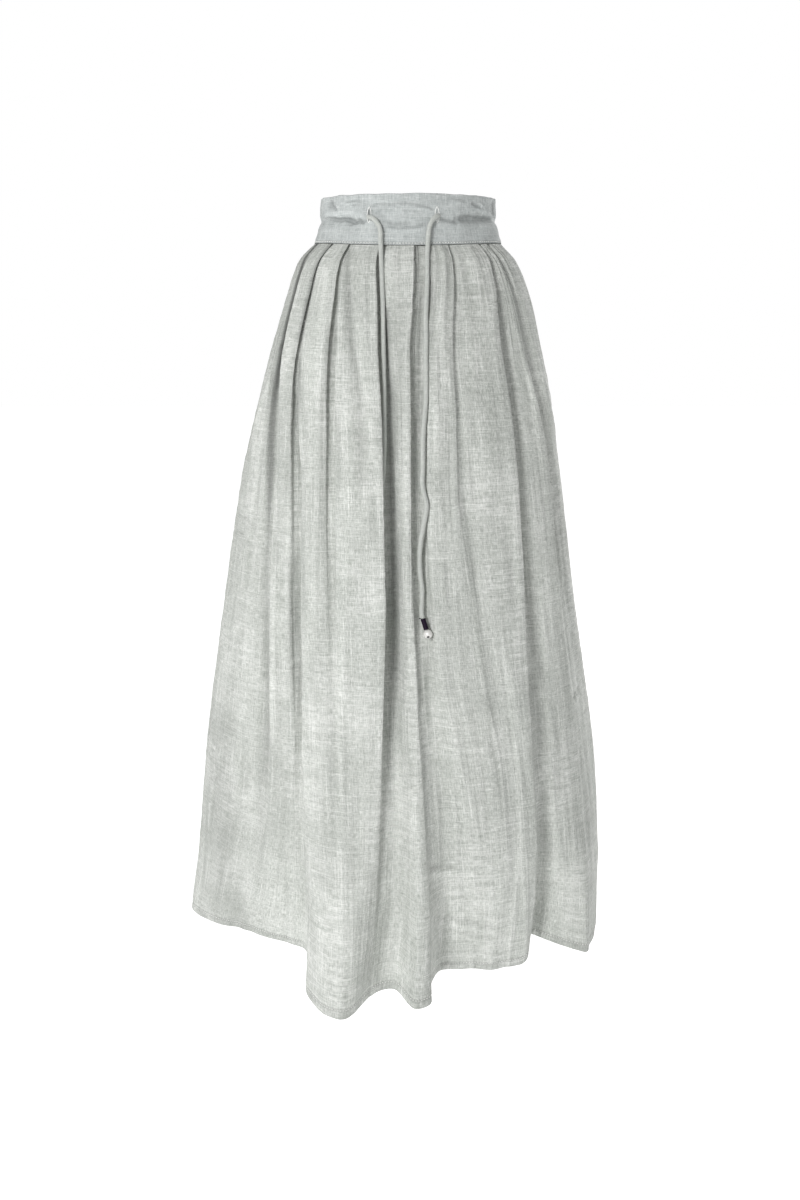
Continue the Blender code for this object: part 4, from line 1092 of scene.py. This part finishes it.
def build_panel(name, node, stations_at, creases, shades, seed, cloth, thread):
    """One pleated panel as a fine sheet, with its hem turned up inside and stitched."""
    drops = np.concatenate([np.arange(0, FINE_REACH, FINE_ROW),
                            np.linspace(FINE_REACH, SKIRT_LENGTH - FINE_REACH, PANEL_ROWS),
                            SKIRT_LENGTH - np.arange(0, FINE_REACH, FINE_ROW)[::-1]])
    steps = span_steps(stations_at)
    grid = np.array([ring_at(stations_at(drop), drop, steps) for drop in drops])
    arcs = np.array([arc_lengths(row) for row in grid])
    u = arcs[len(grid) // 3:].mean(axis=0)
    u = np.broadcast_to(u - u[len(u) // 2], grid.shape[:2])
    v = np.broadcast_to(drops[:, None], grid.shape[:2])

    sizes = np.array([body_at(drop) for drop in drops])
    across = (grid[..., 0] - sizes[:, 3:4]) / sizes[:, 0:1]
    turn = np.degrees(np.arctan2(across, -grid[..., 1] / sizes[:, 1:2]))
    edge = np.minimum(u - u[:, :1], u[:, -1:] - u)
    below_stitches = v - SKIRT_LENGTH + HEM_STITCH_UP
    relief = crumple(u, v, seed) + panel_creases(turn, v, creases)
    relief *= np.clip(edge / RELIEF_FADE_SIDE, 0, 1)
    relief -= SIDE_SEAM_DEPTH * bell(edge, SIDE_SEAM_WIDTH)
    relief -= HEM_STITCH_DEPTH * bell(below_stitches, HEM_STITCH_WIDTH)
    grid = grid + grid_normals(grid) * (relief * np.clip(v / RELIEF_FADE_TOP, 0, 1))[..., None]

    normals = grid_normals(grid)
    inner = []
    for turned_up, inwards, lower in HEM_ROWS:
        row = nearest_row(drops, SKIRT_LENGTH - turned_up * HEM_TURN)
        point = grid[row] - normals[row] * HEM_FOLD * inwards
        point[:, 2] -= lower
        inner.append(point)
    beyond = np.linspace(0, HEM_TURN, len(inner))[:, None] + SKIRT_LENGTH + 0.0 * u[:1]
    uv = np.stack([np.vstack([u, np.repeat(u[:1], len(inner), axis=0)]), np.vstack([v, beyond])], -1)
    piece = grid_object(name, np.vstack([grid, np.array(inner)]), uv, cloth)

    # Painted light and shade on the panel: darker where the lining lies behind it, along the double hem and
    # its stitches, in hollows, beside recesses and at the gathered seam, lighter on ridges, plus a few broad
    # painted shades and lights.
    line = np.interp((turn + 180) % 360 - 180, *np.array(LINING_LINE).T,
                     left=LINING_LINE_BACK, right=LINING_LINE_BACK)
    doubled = eased(below_stitches + DOUBLED_ABOVE, HEM_BLUR)
    shade = (1 - (1 - LINING_SHADE) * eased(line - v, LINING_BLUR)) * (1 - (1 - HEM_SHADE) * doubled)
    shade = shade * (1 - STITCH_SHADE * bell(below_stitches, STITCH_SHADE_WIDTH))
    shade = shade * np.clip(1 + HOLLOW_SHADE * relief * 1000, *HOLLOW_LIMITS)
    shade = shade * recess_shade(turn, v, shades)
    shade = shade * (1 - GATHERED_SHADE * bell(v, GATHERED_DROP))
    shade = shade * (1 + HEM_PATCHES * cloth_noise(u, v, seed, *HEM_PATCH_NOISE) * doubled)
    paint_light(piece, np.vstack([shade, np.full((len(inner), shade.shape[1]), INNER_SHADE)]))

    stitched = nearest_row(drops, SKIRT_LENGTH - HEM_STITCH_UP)
    stitches = stitch_row("hem_stitches" + name[5:], grid[stitched], normals[stitched], thread)
    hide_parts(node)
    return piece, stitches


# Waistband

def band_outer(height, turns):
    """Points on the waistband's outer face at one height."""
    half_width, front, back = (float(np.interp(height, BAND_ROWS["height"], BAND_ROWS[field]))
                               for field in ("half_width", "front", "back"))
    inset = PINCH_DEPTH * math.exp(-(height / PINCH_HALF_HEIGHT) ** 2)
    clear = np.clip((np.abs(turns) - PINCH_CLEAR_TURN) / PINCH_BLEND_TURN, 0, 1)
    point, normal, _ = oval(turns, half_width, front, back, 0.0)
    point = point - normal * (inset * clear)[:, None]
    share = (BAND_TOP - height) / (BAND_TOP - SEAM_FRONT)
    return np.column_stack([point, height + share ** 2 * seam_rise(turns, 0.0)])


def slit_turn(side):
    """Turn of the left (0) or right (1) slit's middle."""
    return math.degrees(math.asin(SLIT_CENTRES[side] / SLIT_HALF_WIDTH))


def slit_opening(height):
    """Half the width to which a slit is opened at a height, in metres: pointed at its ends."""
    share = (height - SLIT_Z) / (EYELET_HEIGHT / 2)
    return SLIT_OPEN / 2 * max(0.0, 1 - share ** 2) ** SLIT_ENDS


def open_slits(turns, height):
    """Turns of the band's columns at a height, moved aside round the two opened slits."""
    moved = turns.copy()
    for side in (0, 1):
        away = turns - slit_turn(side)
        distance = np.abs(np.radians(away)) * SLIT_ARC
        opened = np.degrees(slit_opening(height) / SLIT_ARC)
        moved += np.sign(away) * opened * np.exp(-distance / SLIT_PUSH)
    return moved


def band_relief(x, z, turns, seed, creases):
    """Puckers along the cord's channel, soft wrinkles and the named creases."""
    u = np.radians(turns) * BAND_RADIUS
    where = dict(all=1.0, channel=bell(z - CHANNEL_Z, CHANNEL_HALF_HEIGHT),
                 above=np.clip((z - ABOVE_FROM) / ABOVE_BLEND, 0, 1))
    relief = 0.0
    for fold in BAND_CRUMPLES:
        noise = gradient_noise(u * fold.round, z * fold.down, seed + fold.seed)
        relief = relief + fold.height * (ridged(noise) if fold.sharp else noise) * where[fold.where]
    relief = relief / 1000
    for crease in creases:
        relief = relief + BAND_CREASE_GAIN * crease_height(x, z, crease, crease.path)
    return relief


def build_band(name, node, middle, seed, creases, cloth, thread):
    """One half of the band: its outer face, folded top edge and inner face, as one sheet."""
    reach = 90 - BAND_GAP_TURN
    front = middle == 0
    turns = np.linspace(middle - reach, middle + reach, int(math.pi * BAND_RADIUS / BAND_COLUMN))
    slits = []
    if front:
        for side in (0, 1):
            k = int(np.argmin(np.abs(turns - slit_turn(side))))
            turns[k - 1:k + 3] = slit_turn(side) + np.array(SLIT_COLUMN_TURNS)
            slits.append(k)
    heights = np.linspace(SEAM_FRONT, BAND_TOP - BAND_EDGE, BAND_ROW_COUNT)
    outer = np.array([band_outer(height, open_slits(turns, height) if front else turns)
                      for height in heights])
    z_flat = np.broadcast_to(heights[:, None], outer.shape[:2])
    turns_flat = np.broadcast_to(turns, outer.shape[:2])
    relief = band_relief(outer[..., 0], z_flat, turns_flat, seed, creases)
    relief -= BAND_STITCH_DEPTH * bell(z_flat - heights[SEAM_STITCH_ROW], BAND_STITCH_WIDTH)
    relief = relief * np.clip((z_flat - SEAM_FRONT) / BAND_FADE, 0, 1)
    normal = -grid_normals(outer)
    outer = outer + normal * relief[..., None]
    waves = gradient_noise(turns / BAND_TOP_WAVE_TURN, 0 * turns + 0.5, seed + 7)
    outer[..., 2] += BAND_TOP_WAVES * waves * np.clip(z_flat / BAND_TOP, 0, 1) ** 2
    top = outer[-1] - normal[-1] * BAND_CLOTH * 0.5
    top[:, 2] += BAND_EDGE
    inner = outer[::-1] - normal[::-1] * BAND_CLOTH
    grid = np.concatenate([outer, top[None], inner])[::-1]
    uv = cloth_uv(grid, np.radians(turns) * BAND_RADIUS,
                  np.arange(len(grid))[:, None] * (heights[1] - heights[0]))
    all_heights = np.concatenate([heights, [BAND_TOP], heights[::-1]])[::-1]
    middle_heights = (all_heights[1:] + all_heights[:-1]) / 2
    holes = np.zeros((len(grid) - 1, len(turns) - 1), bool)
    for k in slits:
        holes[np.abs(middle_heights - SLIT_Z) < EYELET_HEIGHT / 2, k] = True
    piece = grid_object(name, grid, uv, cloth, holes=holes)
    # Painted shade in the band's hollows and along its stitches, painted light on its ridges, and painted
    # shade at its end towards +X above the cord.
    hollows = np.clip(1 + BAND_HOLLOW_SHADE * relief * 1000, *BAND_HOLLOW_LIMITS)
    darker = np.concatenate([hollows, hollows[-1:], np.ones(hollows.shape)])[::-1].copy()
    row = 2 * BAND_ROW_COUNT - SEAM_STITCH_ROW
    darker[row - 1:row + 2] -= STITCH_SHADE
    if front:
        ends = 1 + np.exp(-(grid[..., 0] - BAND_END_X) / BAND_END_BLUR)
        darker -= BAND_END_SHADE / ends * (grid[..., 2] > BAND_END_Z)
    paint_light(piece, darker)
    stitches = stitch_row("seam_stitches" + name[4:], outer[SEAM_STITCH_ROW],
                          normal[SEAM_STITCH_ROW], thread)
    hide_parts(node)
    return piece, stitches


def build_rim(name, side, thread):
    """The buttonhole stitches round one slit, as a lumpy thread along its edge."""
    path = []
    for angle in np.linspace(0, 2 * math.pi, RIM_POINTS, endpoint=False):
        height = SLIT_Z + (EYELET_HEIGHT / 2 + RIM_BEYOND) * math.sin(angle)
        inside = SLIT_Z + EYELET_HEIGHT / 2 * RIM_INSIDE * math.sin(angle)
        shift = math.copysign(slit_opening(inside), math.cos(angle))
        turn = slit_turn(side) + math.degrees(shift / SLIT_ARC)
        path.append(band_outer(height, np.array([turn]))[0])
    path = np.array(path + path[:2])
    path[:, :2] *= RIM_OUT
    wraps = 1 + RIM_LUMPS * np.cos(np.arange(len(path)) * math.pi)
    return tube(name, path, RIM_RADIUS * wraps[:, None] * np.ones((1, RIM_SIDES)), thread, cap=False)


# Lining

def build_slip(name, node, middle, cloth):
    """One half of the lining, with its hem turned up inside."""
    reach = 90 - BAND_GAP_TURN
    turns = np.linspace(middle - reach, middle + reach, SLIP_COLUMNS)
    at = LINING_ROWS["drop"]
    drops = np.concatenate([at[:2], np.linspace(SLIP_FROM, at[-1], SLIP_ROWS)])
    rows = []
    for drop in drops:
        sizes = [float(np.interp(drop, at, LINING_ROWS[field]))
                 for field in ("half_width", "front", "back", "shift")]
        point, _, _ = oval(turns, *sizes)
        rows.append(np.column_stack([point, SEAM_FRONT - drop + seam_rise(turns, drop)]))
    grid = np.array(rows)
    normals = grid_normals(grid)
    u = np.broadcast_to(np.radians(turns) * SLIP_RADIUS, grid.shape[:2])
    v = np.broadcast_to(drops[:, None], grid.shape[:2])
    wave = SLIP_WAVE * cloth_noise(u, v, SLIP_SEED, *SLIP_WAVE_NOISE) * np.clip(v / SLIP_FADE, 0, 1)
    grid = grid - normals * (np.abs(wave) + SLIP_INSIDE)[..., None]
    inner = [grid[-row] - normals[-row] * inwards for row, inwards, _ in SLIP_HEM]
    u = np.vstack([u, u[:len(inner)]])
    v = np.vstack([v] + [v[-1:] + further for _, _, further in SLIP_HEM])
    slip = grid_object(name, np.concatenate([grid, np.array(inner)]), np.stack([u, v], -1), cloth)
    paint_light(slip, 1.0)
    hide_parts(node)
    return slip


# Drawstring

def build_cord(label, route, hang, cloth, plum, pearl, eye):
    """One end of the drawstring, a rolled and twisted linen tube, with its sleeve and bead."""
    points, length = even_points(route, CORD_POINTS)
    along = np.linspace(0, length, len(points))[:, None]
    angle = np.linspace(0, 2 * math.pi, CORD_SIDES, endpoint=False)[None]
    away = (angle - 2 * math.pi * along / CORD_TWIST + math.pi) % (2 * math.pi) - math.pi
    lengthways, round_it = CORD_LUMP_NOISE
    lumps = CORD_LUMPS * gradient_noise(along * lengthways + 0 * angle,
                                        round_it * np.sin(angle) + 0 * along + 2, CORD_SEED)
    radius = CORD_DIAMETER / 2 * (1 - CORD_GROOVE * bell(away, CORD_GROOVE_ANGLE) + lumps)
    cord = tube("cord_cloth_" + label, points, radius, cloth)
    paint_light(cord, 1.0)
    down = Vector(hang).normalized()
    top = (END_GAP + SLEEVE_TILT_ROOM) * 1000
    end = top + SLEEVE_LENGTH * 1000
    r = SLEEVE_DIAMETER * 500
    profile = ((top - 0.6, 0.1), (top - 0.4, r * 0.92), (top, r), (top + 1.2, r * 0.97),
               ((top + end) / 2, r * 0.94), (end - 1.2, r * 0.95), (end, r * 0.98),
               (end + 0.1, r * 0.6), (end + 0.1, 0.1))
    sleeve = turned("sleeve_" + label, profile, points[-1], down, SLEEVE_SIDES, plum)
    ball = BEAD_DIAMETER * 500
    bead_top = end + END_GAP * 1000
    profile = [(bead_top + ball * (1 - math.cos(a)), max(BEAD_HOLE, ball * math.sin(a)))
               for a in np.linspace(0.10, math.pi - 0.16, BEAD_RINGS)]
    profile += [(bead_top + 2 * ball - BEAD_HOLE, 0.8), (bead_top + 2 * ball - 2.5, 0.75)]
    bead = turned("bead_" + label, profile, points[-1], down, BEAD_SIDES, pearl)
    middle = Vector(points[-1]) + down * (bead_top + ball) / 1000
    facing = Vector(KNOT_FACING).normalized()
    knot = turned("bead_knot_" + label, KNOT_PROFILE, middle + facing * ball / 1000, facing,
                  KNOT_SIDES, eye)
    tail = [Vector(points[-1]) + Vector(offset) / 1000 for offset in THREAD_END]
    thread_path = curve_with(np.array([tuple(p) for p in tail]), [THREAD_END_STEPS] * (len(tail) - 1))
    thread_radii = np.full((len(thread_path), THREAD_END_SIDES), THREAD_END_RADIUS)
    thread_end = tube("thread_end_" + label, thread_path, thread_radii, plum)
    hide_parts("cord_" + label)
    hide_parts("cord_sleeve_" + label)
    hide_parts("cord_bead_" + label)


# Studio

def build_camera():
    data = bpy.data.cameras.new("camera")
    data.lens, data.sensor_width = CAMERA_LENS, 36.0
    camera = bpy.data.objects.new("camera", data)
    camera.location = CAMERA_PLACE
    camera.rotation_euler = (math.radians(90 - CAMERA_DOWN), 0, 0)
    bpy.context.scene.collection.objects.link(camera)
    bpy.context.scene.camera = camera


def build_floor():
    bpy.ops.mesh.primitive_plane_add(size=FLOOR_SIZE, location=(0, 0, FLOOR_HEIGHT))
    floor = bpy.context.object
    floor.name = "floor"
    floor.data.materials.append(floor_paper())


def build_sky():
    """White behind the skirt, dimmer on the other sides and dim overhead and below."""
    world = bpy.data.worlds.new("studio")
    bpy.context.scene.world = world
    world.use_nodes = True
    sky = world.node_tree
    direction = add(sky, "ShaderNodeTexCoord").outputs["Generated"]
    parts = add(sky, "ShaderNodeSeparateXYZ", Vector=direction).outputs
    level = map_range(sky, combine(sky, "ABSOLUTE", parts["Z"], 0.0), *SKY_BAND, 1.0, 0.0)
    round_about = map_range(sky, parts["Y"], *SKY_BACK, SKY_ROUND - SKY_TOP, SKY_BEHIND - SKY_TOP)
    strength = combine(sky, "ADD", combine(sky, "MULTIPLY", level, round_about), SKY_TOP)
    sky.links.new(strength, sky.nodes["Background"].inputs["Strength"])
    sky.nodes["Background"].inputs["Color"].default_value = (1, 1, 1, 1)


def area_light(name, place, power):
    data = bpy.data.lights.new(name, "AREA")
    data.shape, data.size, data.energy = "SQUARE", KEY_SIZE, power
    lamp = bpy.data.objects.new(name, data)
    lamp.location = place
    lamp.rotation_euler = (Vector(KEY_AIM) - Vector(place)).to_track_quat("-Z", "Y").to_euler()
    bpy.context.scene.collection.objects.link(lamp)


def main():
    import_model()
    panel, band, cotton, cord = [linen(name, *look) for name, look in LINENS.items()]
    thread, rim_thread, plum, pearl, eye = [plain_material(name, *look)
                                            for name, look in PLAIN_MATERIALS.items()]

    front, front_hem = build_panel("linen_front", "skirt_front", front_stations, FRONT_CREASES,
                                   FRONT_SHADES, PANEL_SEEDS[0], panel, thread)
    back, back_hem = build_panel("linen_back", "skirt_back", back_stations, (), (), PANEL_SEEDS[1],
                                 panel, thread)
    bands = [build_band("band_front", "waistband_front", 0, BAND_SEEDS[0], BAND_CREASES, band, thread),
             build_band("band_back", "waistband_back", 180, BAND_SEEDS[1], (), band, thread)]
    build_rim("buttonhole_rim_left", 0, rim_thread)
    build_rim("buttonhole_rim_right", 1, rim_thread)
    linings = [build_slip("slip_front", "lining_front", 0, cotton),
               build_slip("slip_back", "lining_back", 180, cotton)]
    build_cord("left", LEFT_ROUTE, LEFT_HANG, cord, plum, pearl, eye)
    build_cord("right", RIGHT_ROUTE, RIGHT_HANG, cord, plum, pearl, eye)

    build_camera()
    build_floor()
    build_sky()
    area_light("key", KEY_PLACE, KEY_POWER)
    area_light("key_behind", KEY_BEHIND_PLACE, KEY_BEHIND_POWER)
    bpy.context.scene.view_settings.view_transform = "Standard"
    bpy.context.scene.view_settings.exposure = 0.0


main()
